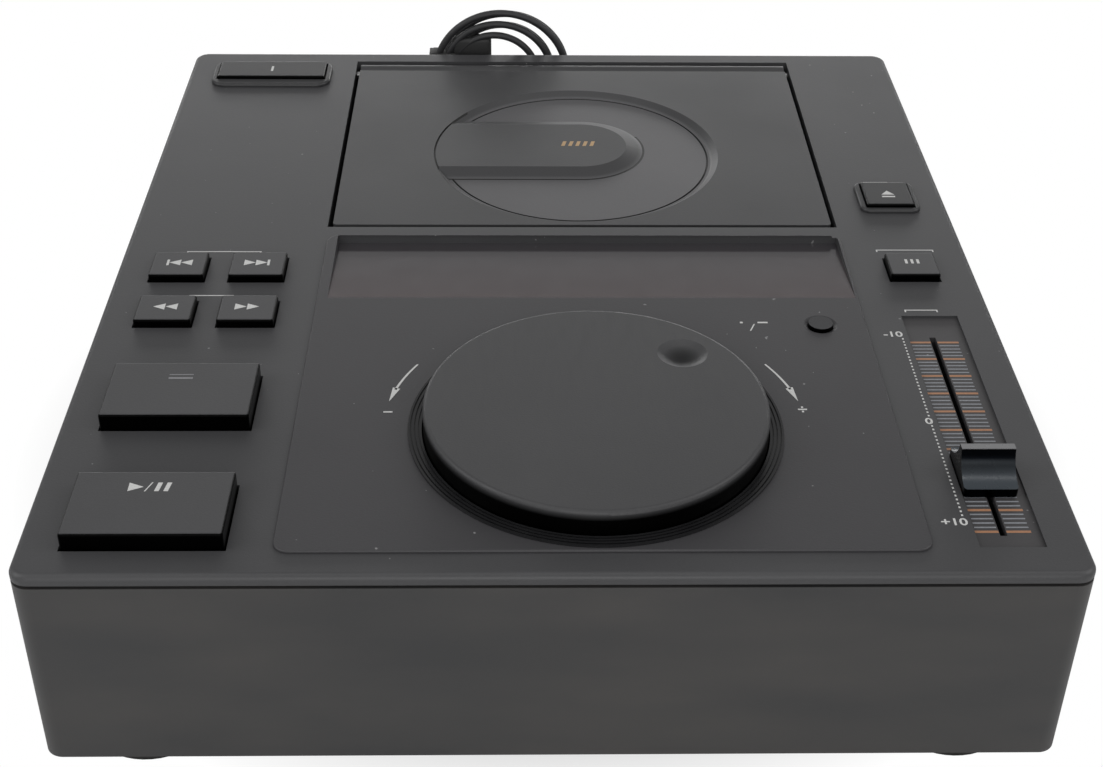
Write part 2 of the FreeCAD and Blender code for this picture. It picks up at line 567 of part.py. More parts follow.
def lid_pieces():
    """Hinged lid with the sunk disc relief, its liner, pins, clamper and latch."""
    top = "top_height"
    under = "top_height - lid_thick"
    slab = rounded("lid_slab", ("lid_left", "lid_right"), ("lid_front", "hinge_y"), (under, top),
                   "lid_corner")
    skirt_out = block("lid_skirt_out", ("lid_left", "lid_right"), ("lid_front", "hinge_y - 9"),
                      (under + " - lid_skirt", under + " + 0.5"))
    skirt_in = block("lid_skirt_in", ("lid_left + lid_wall", "lid_right - lid_wall"),
                     ("lid_front + lid_wall", "hinge_y - 9 - lid_wall"),
                     (under + " - lid_skirt - 1", under))
    skirt = cut("lid_skirt_ring", skirt_out, [skirt_in])
    barrel = rod("lid_barrel", ("lid_left", "lid_right"), "hinge_y", "top_height - hinge_radius",
                 "hinge_radius")
    behind = block("lid_behind", ("lid_left - 1", "lid_right + 1"), ("hinge_y - 5", "hinge_y + 9"),
                   (top + " - lid_thick - 9", top + " + 1"))
    slab_cut = cut("lid_slab_cut", slab, [behind])
    neck = block("lid_neck", ("lid_left", "lid_right"), ("hinge_y - 6", "hinge_y - 2.4"),
                 ("top_height - lid_thick", "top_height - 1.3"))
    body = fuse("lid_body", [slab_cut, skirt, barrel, neck])

    # Sunk disc relief with a sloped wall, and the flat tongue that crosses it from the left
    relief = rod("relief_cone", "disc_x", "disc_y", ("top_height - relief_depth", "top_height + 0.01"),
                 "relief_radius - relief_slope", "relief_radius")
    tongue_x = "lid_left"
    round_end = "(tongue_back - tongue_front) / 2"
    tongue_mid = "(tongue_back + tongue_front) / 2"
    spare = "tongue_slope / relief_depth / 2"
    bar = doc.addObject("Part::Wedge", "tongue_bar")
    bar.Placement.Rotation = FreeCAD.Rotation(FreeCAD.Vector(1, 0, 0), 90)
    wide = "%s * 2 + 2 * (%s)" % (round_end, spare)
    sides = {"Xmin": "0", "X2min": "0", "Ymin": "0", "Zmin": "0", "Xmax": "disc_x + tongue_right - lid_left",
             "X2max": "disc_x + tongue_right - lid_left", "Ymax": "relief_depth + 1", "Zmax": wide,
             "Z2min": "tongue_slope + 2 * (%s)" % spare,
             "Z2max": "%s - tongue_slope - 2 * (%s)" % (wide, spare)}
    for side, text in sides.items():
        bar.setExpression(side, rule(text))
    place(bar, tongue_x, "tongue_back + " + spare, "top_height - relief_depth - 0.5")
    tongue = fuse("relief_tongue", [
        bar, rod("tongue_end", "disc_x + tongue_right", tongue_mid,
                 ("top_height - relief_depth - 0.5", "top_height + 0.5"),
                 "%s + %s" % (round_end, spare), "%s - tongue_slope - %s" % (round_end, spare))])
    sunk = cut("relief_cut", relief, [tongue])
    groove_out = rod("groove_out", "disc_x", "disc_y",
                     ("top_height - relief_depth - groove_depth", "top_height - relief_depth + 0.01"),
                     "relief_radius - relief_slope - 1")
    groove_in = rod("groove_in", "disc_x", "disc_y", ("top_height - relief_depth - 1", "top_height"),
                    "relief_radius - relief_slope - 1 - groove_width")
    groove = cut("groove_ring", groove_out, [groove_in, tongue])
    arc_out = rod("arc_out", "disc_x", "disc_y", ("top_height - groove_depth", "top_height + 0.4"),
                  "relief_radius")
    arc_in = rod("arc_in", "disc_x", "disc_y", ("top_height - groove_depth - 1", "top_height + 1"),
                 "relief_radius - groove_width")
    arc = doc.addObject("Part::Common", "arc_groove")
    arc.Base = cut("arc_ring", arc_out, [arc_in])
    arc.Tool = tongue
    pin_low = "lid_left - lid_gap - pin_reach"
    pin_high = "lid_right + lid_gap + pin_reach"
    pin_hole = rod("pin_hole", (pin_low, pin_high), "hinge_y", "top_height - hinge_radius",
                   "pin_radius")
    latch_slot = block("latch_slot", ("lid_right - lid_wall - 1", "lid_right + 1"),
                       ("latch_y - latch_width / 2 - slot_gap", "latch_y + latch_width / 2 + slot_gap"),
                       ("top_height - latch_drop - slot_gap",
                        "top_height - latch_drop + latch_thick + slot_gap"))
    node(cut("lid", body, [sunk, groove, arc, pin_hole, latch_slot]), "lid_cover")

    pins = [rod("pin_left", (pin_low, "lid_left + pin_depth"), "hinge_y", "top_height - hinge_radius",
                "pin_radius"),
            rod("pin_right", ("lid_right - pin_depth", pin_high), "hinge_y", "top_height - hinge_radius",
                "pin_radius")]
    node(fuse("pins", pins), "hinge_pins")
    brackets = []
    spans = {"left": ("lid_left - lid_gap - well_wall - bracket_thick",
                      "lid_left - lid_gap - well_wall"),
             "right": ("lid_right + lid_gap + well_wall",
                       "lid_right + lid_gap + well_wall + bracket_thick")}
    for side, span in spans.items():
        ear = block("ear_" + side, span, ("hinge_y - bracket_half_depth", "hinge_y + bracket_half_depth"),
                    ("top_height - 13", "top_height - top_thick"))
        bore = rod("ear_bore_" + side, ("%s - 1" % span[0], "%s + 1" % span[1]), "hinge_y",
                   "top_height - hinge_radius", "pin_radius + pin_fit")
        brackets.append(cut("ear_cut_" + side, ear, [bore]))
    node(fuse("ears", brackets), "hinge_brackets")

    # Liner under the lid with the clamper's round housing
    liner_z = under + " - lid_skirt"
    plate = block("liner_plate", ("lid_left + lid_wall", "lid_right - lid_wall"),
                  ("lid_front + lid_wall", "hinge_y - 9 - lid_wall"),
                  (liner_z, liner_z + " + liner_thick"))
    collar = rod("liner_collar", "disc_x", "disc_y", (liner_z + " + liner_thick", under),
                 "clamper_radius + 3")
    hole = rod("liner_hole", "disc_x", "disc_y", (liner_z + " - 1", under + " - 1.5"),
               "clamper_radius - 1.5")
    room = rod("liner_room", "disc_x", "disc_y", (liner_z + " + liner_thick", under + " - 1.5"),
               "clamper_radius + 0.6")
    node(cut("liner", fuse("liner_body", [plate, collar]), [fuse("liner_tools", [hole, room])]),
         "lid_liner")
    puck_low = "disc_seat + disc_thick"
    flange = rod("clamper_flange", "disc_x", "disc_y",
                 (liner_z + " + liner_thick + 0.3", under + " - 2.2"), "clamper_radius")
    puck = rod("clamper_puck", "disc_x", "disc_y", (puck_low, liner_z + " + liner_thick + 1"),
               "clamper_radius - 2.5")
    cavity = rod("clamper_cavity", "disc_x", "disc_y", (puck_low + " - 1", puck_low + " + 2.6"),
                 "hub_radius + 0.6")
    node(cut("clamper", fuse("clamper_body", [flange, puck]), [cavity]), "disc_clamper")

    bar = block("latch_bar", ("lid_right - latch_reach", "eject_x - 3"),
                ("latch_y - latch_width / 2", "latch_y + latch_width / 2"),
                ("top_height - latch_drop", "top_height - latch_drop + latch_thick"))
    node(bar, "lid_latch")


def well_pieces():
    """Disc well with its round guide, and the player mechanism on rubber mounts."""
    lid_x, lid_y = lid_span()
    under = "top_height - top_thick"
    surround = "well_floor + well_thick + guide_depth"
    box_x = (lid_x[0] + " - well_wall", lid_x[1] + " + well_wall")
    box_y = (lid_y[0] + " - well_wall", lid_y[1] + " + well_wall")
    outside = block("well_outside", box_x, box_y, (surround + " - well_thick", under))
    inside = block("well_inside", lid_x, lid_y, (surround, "top_height"))
    tub = cut("well_tub", outside, [inside])
    cup = rod("well_cup", "disc_x", "disc_y", ("well_floor", surround), "guide_radius + well_wall")
    guide = rod("well_guide", "disc_x", "disc_y", ("well_floor + well_thick", surround + " + 1"),
                "guide_radius")
    spindle = rod("well_spindle", "disc_x", "disc_y", ("well_floor - 1", "top_height"),
                  "platter_radius + 1.5")
    window = block("well_window", ("disc_x - window_width / 2", "disc_x + window_width / 2"),
                   ("disc_y - lens_orbit - sled_travel - lens_holder / 2 - 1", "disc_y"),
                   ("well_floor - 1", surround + " + 1"))
    pin_bore = rod("well_pins", (box_x[0] + " - 1", box_x[1] + " + 1"), "hinge_y",
                   "top_height - hinge_radius", "pin_radius + 0.4")
    latch = block("well_latch", ("lid_right", "lid_right + 9"),
                  ("latch_y - latch_width / 2 - slot_gap", "latch_y + latch_width / 2 + slot_gap"),
                  ("top_height - latch_drop - slot_gap", "top_height - latch_drop + latch_thick + slot_gap"))
    tools = fuse("well_tools", [guide, spindle, window])
    node(cut("well", fuse("well_body", [tub, cup]), [tools, pin_bore, latch]), "disc_well")

    plate = block("chassis_sheet", ("disc_x - chassis_width / 2", "disc_x + chassis_width / 2"),
                  ("chassis_front", "chassis_back"), ("chassis_z", "chassis_z + chassis_thick"))
    seats = []
    for side in (-1, 1):
        x = "disc_x + %d * rod_spread" % side
        for name, y in (("front", ("rod_front - 6", "rod_front")),
                        ("back", ("rod_back", "rod_back + 4"))):
            seats.append(block("seat_%s_%d" % (name, side + 1), (x + " - 4", x + " + 4"), y,
                               ("chassis_z", "rod_z + rod_radius + 1")))
    hole = rod("chassis_hole", "disc_x", "disc_y", ("chassis_z - 1", "chassis_z + 4"),
               "spindle_radius + 2")
    node(cut("chassis", fuse("chassis_body", [plate] + seats), [hole]), "mechanism_plate")
    dampers = [rod("damper_%d" % index, x, y, ("chassis_z - damper_radius", "chassis_z"),
                   "damper_radius - 0.5") for index, (x, y) in enumerate(CHASSIS_POSTS)]
    node(fuse("dampers", dampers), "damper_mounts")
    rods = [rod("guide_rod_%d" % (side + 1), "disc_x + %d * rod_spread" % side,
                ("rod_front", "rod_back"), "rod_z", "rod_radius") for side in (-1, 1)]
    node(fuse("rods", rods), "guide_rods")

    motor = rod("motor_can", "disc_x", "disc_y", ("chassis_z - motor_height", "chassis_z"),
                "motor_radius")
    neck = rod("motor_neck", "disc_x", "disc_y", ("chassis_z", "chassis_z + chassis_thick + 1"),
               "spindle_radius + 2")
    bore = rod("motor_bore", "disc_x", "disc_y", ("chassis_z - motor_height + 2", "top_height"),
               "spindle_radius + pin_fit")
    node(cut("motor", fuse("motor_body", [motor, neck]), [bore]), "spindle_motor")
    platter = fuse("platter", [
        rod("platter_disc", "disc_x", "disc_y", ("disc_seat - platter_thick", "disc_seat"),
            "platter_radius"),
        rod("platter_hub", "disc_x", "disc_y", ("disc_seat", "disc_seat + 1.6"), "hub_radius"),
        rod("platter_nose", "disc_x", "disc_y", ("disc_seat + 1.6", "disc_seat + hub_rise"),
            "hub_radius", "hub_radius - 2.5"),
        rod("platter_shaft", "disc_x", "disc_y", ("chassis_z - motor_height + 2.5", "disc_seat - 1"),
            "spindle_radius")])
    node(platter, "turntable")

    lens_y = "disc_y - lens_orbit"
    carriage = block("sled_block", ("disc_x - sled_width / 2", "disc_x + sled_width / 2"),
                     (lens_y + " - sled_depth / 2", lens_y + " + sled_depth / 2"),
                     ("sled_low", "sled_high"))
    holder = block("sled_holder", ("disc_x - lens_holder / 2", "disc_x + lens_holder / 2"),
                   (lens_y + " - lens_holder / 2", lens_y + " + lens_holder / 2"),
                   ("sled_high", "disc_seat - 2.5"))
    bores = [rod("sled_bore_%d" % (side + 1), "disc_x + %d * rod_spread" % side,
                 (lens_y + " - sled_depth", lens_y + " + sled_depth"), "rod_z",
                 "rod_radius + pin_fit") for side in (-1, 1)]
    node(cut("sled", fuse("sled_body", [carriage, holder]), bores), "pickup_sled")
    node(rod("lens_glass", "disc_x", lens_y, ("disc_seat - 2.5", "disc_seat - 1.7"), "lens_radius"),
         "pickup_lens")


def key_cap(name, travel, rise, x, y, width, depth):
    """A moulded button: cap over the panel, flange under it and a stem to its switch."""
    top = "top_height + " + rise
    under = "top_height - top_thick"
    cap = rounded("cap_" + name, ("%s - %s / 2" % (x, width), "%s + %s / 2" % (x, width)),
                  ("%s - %s / 2" % (y, depth), "%s + %s / 2" % (y, depth)),
                  (under + " - 0.6", top), "1", "key_edge")
    collar = block("collar_" + name,
                   ("%s - %s / 2 - flange" % (x, width), "%s + %s / 2 + flange" % (x, width)),
                   ("%s - %s / 2 - flange" % (y, depth), "%s + %s / 2 + flange" % (y, depth)),
                   (under + " - 1.5", under + " - 0.3"))
    stem = rod("stem_" + name, "%s + %s / 4" % (x, width), y,
               ("key_board_z + board_thick + 3 + %s" % travel, under + " - 1"), "2")
    return [cap, collar, stem]


def button_pieces():
    """All push buttons, the two bezels, the key boards and their switches."""
    for name, (x, y, width, depth, rise, travel) in KEYS.items():
        parts = key_cap(name, travel, rise, x, y, width, depth)
        if name in ("power", "eject"):
            parts = parts[:2]
        node(fuse("key_" + name, parts), name + "_button")

    under = "top_height - top_thick"
    time_cap = rod("time_cap", "time_x", "time_y", (under + " - 0.6", "top_height + centre_rise + 0.8"),
                   "time_radius")
    time_collar = rod("time_collar", "time_x", "time_y", (under + " - 1.5", under + " - 0.3"),
                      "time_radius + flange")
    node(fuse("key_time", [time_cap, time_collar]), "time_button")

    bezels = (("power_bezel", "left_keys", "bezel_y", "bezel_width", "bezel_depth", "power"),
              ("eject_bezel", "eject_x", "eject_y", "eject_bezel", "eject_bezel", "eject"))
    for label, x, y, width, depth, key in bezels:
        corner = "6.5" if key == "power" else "4"
        frame = rounded(label + "_frame", ("%s - %s / 2" % (x, width), "%s + %s / 2" % (x, width)),
                        ("%s - %s / 2" % (y, depth), "%s + %s / 2" % (y, depth)),
                        ("top_height", "top_height + bezel_rise"), corner, "1")
        key_x, key_y, key_width, key_depth = KEYS[key][:4]
        node(cut(label + "_cut", frame,
                 [key_hole(label + "_hole", key_x, key_y, key_width, key_depth)]), label)

    board = ("key_board_z", "key_board_z + board_thick")
    node(block("left_circuit", ("left_keys - key_board_half", "left_keys + key_board_half"),
               ("play_y - big_depth / 2", "track_y + key_depth / 2 + 3.5"),
               board), "key_board_left")
    node(block("right_circuit", ("mode_x - mode_board_half", "mode_x + mode_board_half"),
               ("mode_y - 19", "mode_y + 19"),
               board), "key_board_right")
    switches = []
    for name, (x, y, width, depth, rise, travel) in KEYS.items():
        if name in ("power", "eject"):
            continue
        spot = "%s + %s / 4" % (x, width)
        base = block("switch_" + name, (spot + " - switch_width / 2", spot + " + switch_width / 2"),
                     (y + " - switch_width / 2", y + " + switch_width / 2"),
                     ("key_board_z + board_thick", "key_board_z + board_thick + 2"))
        tip = rod("switch_tip_" + name, spot, y,
                  ("key_board_z + board_thick + 2", "key_board_z + board_thick + 2.7"), "1.5")
        switches += [base, tip]
    node(fuse("switches", switches), "key_switches")


def tempo_pieces():
    """Sunk scale plate with its slot, the fader under it, lever and ridged knob."""
    face = "top_height - tempo_sink"
    under = "top_height - top_thick"
    plate = block("scale_plate", ("tempo_x - tempo_width / 2", "tempo_x + tempo_width / 2"),
                  ("tempo_front", "tempo_back"), (under, face))
    slot = block("scale_slot", ("slot_x - slot_width / 2", "slot_x + slot_width / 2"),
                 ("slot_front", "slot_back"), (under + " - 1", face + " + 1"))
    node(cut("scale", plate, [slot]), "tempo_scale")
    shell = block("fader_shell", ("slot_x - fader_width / 2", "slot_x + fader_width / 2"),
                  ("slot_front - 4", "slot_back + 4"), ("top_height - display_drop", under))
    room = block("fader_room", ("slot_x - 3", "slot_x + 3"), ("slot_front", "slot_back"),
                 ("top_height - 14", "top_height"))
    node(cut("fader", shell, [room]), "tempo_fader")
    lever = block("lever_bar", ("slot_x - lever_thick / 2", "slot_x + lever_thick / 2"),
                  ("knob_y - lever_width / 2", "knob_y + lever_width / 2"),
                  ("top_height - 10", "top_height + 4"))
    foot = block("lever_foot", ("slot_x - 2.6", "slot_x + 2.6"),
                 ("knob_y - lever_width / 2 - 0.4", "knob_y + lever_width / 2 + 0.4"),
                 ("top_height - 13.7", "top_height - 10"))
    node(fuse("lever", [lever, foot]), "tempo_lever")
    knob_low = face + " + 0.5"
    blank = rounded("knob_blank", ("slot_x - knob_width / 2", "slot_x + knob_width / 2"),
                    ("knob_y - knob_depth / 2", "knob_y + knob_depth / 2"),
                    (knob_low, "top_height + knob_rise"), "1.2")
    scoops = []
    for side in (-1, 1):
        scoops.append(rod("knob_scoop_%d" % (side + 1),
                          ("slot_x - knob_width", "slot_x + knob_width"),
                          "knob_y + %d * (knob_depth / 2 + 0.2)" % side,
                          "top_height + knob_rise + 1.5", "knob_depth / 2 - 1"))
    socket = block("knob_socket", ("slot_x - lever_thick / 2", "slot_x + lever_thick / 2"),
                   ("knob_y - lever_width / 2", "knob_y + lever_width / 2"),
                   ("top_height - 2", "top_height + 4"))
    node(cut("knob", blank, scoops + [socket]), "tempo_knob")


def inside_pieces():
    """Circuit boards and the mains transformer on the base."""
    low = "foot_height + base_thick"
    board = (low + " + board_height", low + " + board_height + board_thick")
    chips = [block("main_circuit", ("main_left", "main_left + main_width"),
                   ("main_front", "main_front + main_depth"), board)]
    for index, (x, y, width, depth, high) in enumerate(((48, 38, 28, 28, 3), (108, 98, 14, 30, 3),
                                                        (138, 28, 20, 12, 6), (28, 98, 10, 10, 9))):
        chips.append(block("chip_%d" % index, ("main_left + %g" % x, "main_left + %g" % (x + width)),
                           ("main_front + %g" % y, "main_front + %g" % (y + depth)),
                           (board[1], board[1] + " + %g" % high)))
    node(fuse("main", chips), "main_board")
    parts = [block("supply_circuit", ("supply_left", "supply_left + supply_width"),
                   ("supply_low", "supply_low + supply_depth"), board)]
    for index, (x, y) in enumerate(((20, 96), (40, 106), (65, 86), (20, 46))):
        parts.append(rod("capacitor_%d" % index, "supply_left + %g" % x, "supply_low + %g" % y,
                         (board[1], board[1] + " + capacitor_height"), "capacitor_radius"))
    node(fuse("supply", parts), "power_board")
    front = "case_depth / 2 - core_inset - core_depth"
    core = block("core", ("supply_left", "supply_left + core_width"),
                 (front, front + " + core_depth"), (low, low + " + core_height"))
    winding = block("winding", ("supply_left + 9", "supply_left + core_width - 9"),
                    (front + " - winding_out", front + " + core_depth + winding_out"),
                    (low + " + 4", low + " + core_height - 4"))
    node(fuse("transformer", [core, winding]), "power_transformer")


def bend(points):
    """Straight runs joined by tangent arcs, each as large as its two runs allow."""
    spots = [FreeCAD.Vector(*point) for point in points]
    edges = []
    start = spots[0]
    radii = []
    for before, corner, after in zip(spots, spots[1:], spots[2:]):
        go_in = (corner - before)
        go_out = (after - corner)
        reach = 0.45 * min(go_in.Length, go_out.Length)
        go_in = FreeCAD.Vector(go_in).normalize()
        go_out = FreeCAD.Vector(go_out).normalize()
        half = go_in.getAngle(go_out) / 2
        radius = reach / math.tan(half)
        radii.append(radius)
        first = corner - go_in * reach
        last = corner + go_out * reach
        towards = (go_out - go_in).normalize()
        middle = corner + towards * (radius / math.cos(half) - radius)
        edges.append(Part.LineSegment(start, first).toShape())
        edges.append(Part.Arc(first, middle, last).toShape())
        start = last
    edges.append(Part.LineSegment(start, spots[-1]).toShape())
    return edges, radii


def tube(name, edges, radius):
    """A round tube along joined edges."""
    wire = Part.Wire(edges)
    start = edges[0].valueAt(edges[0].FirstParameter)
    along = edges[0].tangentAt(edges[0].FirstParameter)
    circle = Part.Wire([Part.Circle(start, along, radius).toShape()])
    shape = wire.makePipeShell([circle], True, False)
    print("%s: length %.1f, volume over section times length %.4f"
          % (name, wire.Length, shape.Volume / (math.pi * radius ** 2 * wire.Length)))
    return shape


def coil_edges():
    """An upright oval coil: spirals in on the front layer and out again on the back one."""
    left, right = size("coil_left"), size("coil_right")
    left_step, right_step = size("left_step"), size("right_step")
    front = size("coil_y")
    back = front + size("layer_step")
    high = size("coil_top") - size("cord_radius") - (right - left) / 2
    low = size("cord_radius") + 0.1 + (right - left - left_step) / 2
    lefts = [left + left_step * turn for turn in range(3)]
    rights = [right - right_step * turn for turn in range(3)]
    vector = FreeCAD.Vector

    def over(x_from, x_to, y, z, lift):
        radius = (x_to - x_from) / 2
        top = vector((x_from + x_to) / 2, y, z + lift * abs(radius))
        return Part.Arc(vector(x_from, y, z), top, vector(x_to, y, z)).toShape()

    def run(x, y, z_from, z_to):
        return Part.LineSegment(vector(x, y, z_from), vector(x, y, z_to)).toShape()

    edges = [run(lefts[0], front, low, high)]
    for turn in range(3):
        edges.append(over(lefts[turn], rights[turn], front, high, 1))
        if turn < 2:
            edges.append(run(rights[turn], front, high, low))
            edges.append(over(rights[turn], lefts[turn + 1], front, low, -1))
            edges.append(run(lefts[turn + 1], front, low, high))
    # The innermost right run leans back to the second layer in two equal arcs
    x = rights[2]
    middle = vector(x, (front + back) / 2, (high + low) / 2)
    angle = 2 * math.atan2(back - front, high - low)
    radius = (high - low) / 2 / math.sin(angle)
    for end, centre_y, sign in (((front, high), front + radius, 1), ((back, low), back - radius, -1)):
        point = vector(x, centre_y - sign * radius * math.cos(angle / 2),
                       end[1] - sign * radius * math.sin(angle / 2))
        ends = [vector(x, end[0], end[1]), point, middle]
        if sign < 0:
            ends.reverse()
        edges.append(Part.Arc(*ends).toShape())
    edges.append(over(rights[2], lefts[2], back, low, -1))
    edges.append(run(lefts[2], back, low, high))
    edges.append(over(lefts[2], rights[1], back, high, 1))
    edges.append(run(rights[1], back, high, low))
    edges.append(over(rights[1], lefts[1], back, low, -1))
    edges.append(run(lefts[1], back, low, high))
    edges.append(over(lefts[1], rights[0], back, high, 1))
    edges.append(run(rights[0], back, high, low))
    return edges, (lefts[0], front, low), (rights[0], back, low)


def least_gap(edges, radius):
    """Smallest free distance between turns, measured on points along the path."""
    wire = Part.Wire(edges)
    spots = wire.discretize(Distance=2.0)
    reach = 12
    least = 1000.0
    for first in range(len(spots)):
        for second in range(first + reach, len(spots)):
            gap = (spots[first] - spots[second]).Length
            least = min(least, gap)
    return least - 2 * radius


def cord_pieces():
    """Power lead: free stretch, standing coil, tail, tie and moulded plug."""
    radius = size("cord_radius")
    edges, start, finish = coil_edges()
    print("coil least gap to itself %.2f" % least_gap(edges, radius))
    node(solid("coil", tube("coil", edges, radius)), "power_cord_coil")

    exit_y = size("case_depth") / 2 - size("rear_recess") + size("relief_length")
    exit_x, exit_z = size("exit_x"), size("exit_z")
    lead = [(exit_x + x, exit_y + y, exit_z + z)
            for x, y, z in ((0, 0, 0), (0, 15.2, 0), (2, 26.8, -9.6), (7.4, 29.4, -24),
                            (18, 23.5, -33.9), (29.8, 10.1, -34.2))]
    lead += [(start[0] - 10.4, start[1] + 6.1, 1.8), (start[0], start[1], start[2] - 17), start]
    edges, radii = bend(lead)
    print("lead radii", [round(value, 1) for value in radii])
    node(solid("lead", tube("lead", edges, radius)), "power_cord")

    plug_x = size("plug_x")
    plug_z = size("plug_height") / 2 + 0.1
    tail = [finish, (finish[0], finish[1], finish[2] - 17), (finish[0] + 13, finish[1] + 2.5, 2),
            (finish[0] + 30, finish[1] + 5.8, 3.2), (plug_x - 15, finish[1], plug_z),
            (plug_x, finish[1], plug_z)]
    edges, radii = bend(tail)
    print("tail radii", [round(value, 1) for value in radii])
    node(solid("tail", tube("tail", edges, radius)), "power_cord_tail")

    y = "coil_y + layer_step"
    width, length = "plug_width", "plug_length"
    sleeve = rod("plug_sleeve", ("plug_x", "plug_x + 12"), y, "plug_height / 2 + 0.1", "2.6", "4.2")
    shell = rounded("plug_shell", ("plug_x + 12", "plug_x + 12 + " + length),
                    ("%s - %s / 2" % (y, width), "%s + %s / 2" % (y, width)),
                    ("0.1", "plug_height + 0.1"), "4", "3")
    node(fuse("plug", [sleeve, shell]), "power_plug")
    blades = [block("blade_%d" % index, ("plug_x + 12 + " + length, "plug_x + 12 + %s + 16" % length),
                    ("%s - 3.2" % y, "%s + 3.2" % y),
                    ("plug_height / 2 + %g" % z, "plug_height / 2 + %g" % (z + 1.5)))
              for index, z in enumerate((-6.9, 5.6))]
    node(fuse("blades", blades), "plug_blades")
    band = rounded("tie_band", ("coil_left - 2.4", "coil_left + 10.6"),
                   ("coil_y - 2.6", "coil_y + layer_step + 2.6"), ("coil_top - 30", "coil_top - 21"),
                   "2")
    lump = rounded("tie_lump", ("coil_left + 8", "coil_left + 26.5"),
                   ("coil_y - 1.5", "coil_y + layer_step + 1.5"), ("coil_top - 26", "coil_top - 13.5"),
                   "2", "2.4")
    node(fuse("tie", [band, lump]), "cord_tie")


case_pieces()
rear_pieces()
top_pieces()
jog_pieces()
lid_pieces()
well_pieces()
button_pieces()
tempo_pieces()
inside_pieces()
cord_pieces()
doc.recompute()

for item in doc.Objects:
    if {"Invalid", "Error"} & set(item.State):
        raise RuntimeError("%s did not build" % item.Label)
for item in nodes:
    if item.Shape.isNull() or not item.Shape.isValid() or not item.Shape.Solids:
        raise RuntimeError("%s is not a sound solid" % item.Label)

os.makedirs("parts", exist_ok=True)
for item in nodes:
    item.Shape.exportStep(os.path.join("parts", item.Label + ".step"))
print("%d sub-parts written" % len(nodes))
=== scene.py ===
import math

import bmesh
import bpy
from mathutils import Matrix, Vector


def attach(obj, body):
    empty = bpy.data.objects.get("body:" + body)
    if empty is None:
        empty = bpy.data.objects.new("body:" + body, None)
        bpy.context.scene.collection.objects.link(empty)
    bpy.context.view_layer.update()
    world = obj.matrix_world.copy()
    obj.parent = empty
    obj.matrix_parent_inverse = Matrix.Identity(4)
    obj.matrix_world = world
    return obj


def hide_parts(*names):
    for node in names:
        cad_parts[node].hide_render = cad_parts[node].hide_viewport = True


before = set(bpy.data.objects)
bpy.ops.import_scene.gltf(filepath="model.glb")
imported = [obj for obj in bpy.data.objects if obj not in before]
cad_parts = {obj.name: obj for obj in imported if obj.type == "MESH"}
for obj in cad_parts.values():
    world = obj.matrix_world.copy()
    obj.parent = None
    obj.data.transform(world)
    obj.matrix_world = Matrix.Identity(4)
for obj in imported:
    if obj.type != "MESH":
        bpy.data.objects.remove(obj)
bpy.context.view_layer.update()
MM = 0.001


# Camera in front of the player, looking down on its top panel. The values are a real
# camera's place, its tilt and its lens, as a photographer would set them up.
CAMERA_PLACE = (-11.15, -561.3, 415.4)
CAMERA_YAW = -0.0240
CAMERA_PITCH = 0.6079
CAMERA_ROLL = 0.0131
LENS_LENGTH = 55.95

lens_data = bpy.data.cameras.new("view")
lens_data.sensor_width = 36
lens_data.lens = LENS_LENGTH
lens_data.clip_start = 0.01
camera = bpy.data.objects.new("view", lens_data)
bpy.context.scene.collection.objects.link(camera)
bpy.context.scene.camera = camera
ahead = Vector((-math.sin(CAMERA_YAW) * math.cos(CAMERA_PITCH),
                math.cos(CAMERA_YAW) * math.cos(CAMERA_PITCH), -math.sin(CAMERA_PITCH)))
level = Vector((math.cos(CAMERA_YAW), math.sin(CAMERA_YAW), 0))
down = ahead.cross(level)
image_right = math.cos(CAMERA_ROLL) * level - math.sin(CAMERA_ROLL) * down
image_down = math.sin(CAMERA_ROLL) * level + math.cos(CAMERA_ROLL) * down
camera.matrix_world = Matrix.Translation(Vector(CAMERA_PLACE) * MM) @ Matrix(
    (image_right, -image_down, -ahead)).transposed().to_4x4()


bpy.context.scene.view_settings.view_transform = "Standard"


# Studio: a pale floor that reads as white paper, a long low lamp behind the table, a narrow
# strip above it, soft boxes at the sides and in front, and an even pale surround.
class Wire:
    """A shader socket that can be used in arithmetic."""

    def __init__(self, tree, socket):
        self.tree = tree
        self.socket = socket

    def join(self, operation, *values):
        """The result of a Math node on this socket and other values."""
        item = self.tree.nodes.new("ShaderNodeMath")
        item.operation = operation
        for slot, value in zip(item.inputs, (self,) + values):
            if isinstance(value, Wire):
                self.tree.links.new(value.socket, slot)
            else:
                slot.default_value = value
        return Wire(self.tree, item.outputs[0])

    def __add__(self, other):
        return self.join("ADD", other)

    def __radd__(self, other):
        return self.join("ADD", other)

    def __sub__(self, other):
        return self.join("SUBTRACT", other)

    def __rsub__(self, other):
        return self.join("MULTIPLY", -1.0).join("ADD", other)

    def __mul__(self, other):
        return self.join("MULTIPLY", other)

    def __rmul__(self, other):
        return self.join("MULTIPLY", other)

    def __gt__(self, other):
        return self.join("GREATER_THAN", other)

    def __lt__(self, other):
        return self.join("LESS_THAN", other)

    def near(self, spot, reach):
        """1 within this reach of a value, and 0 elsewhere."""
        return self.join("COMPARE", spot, reach)


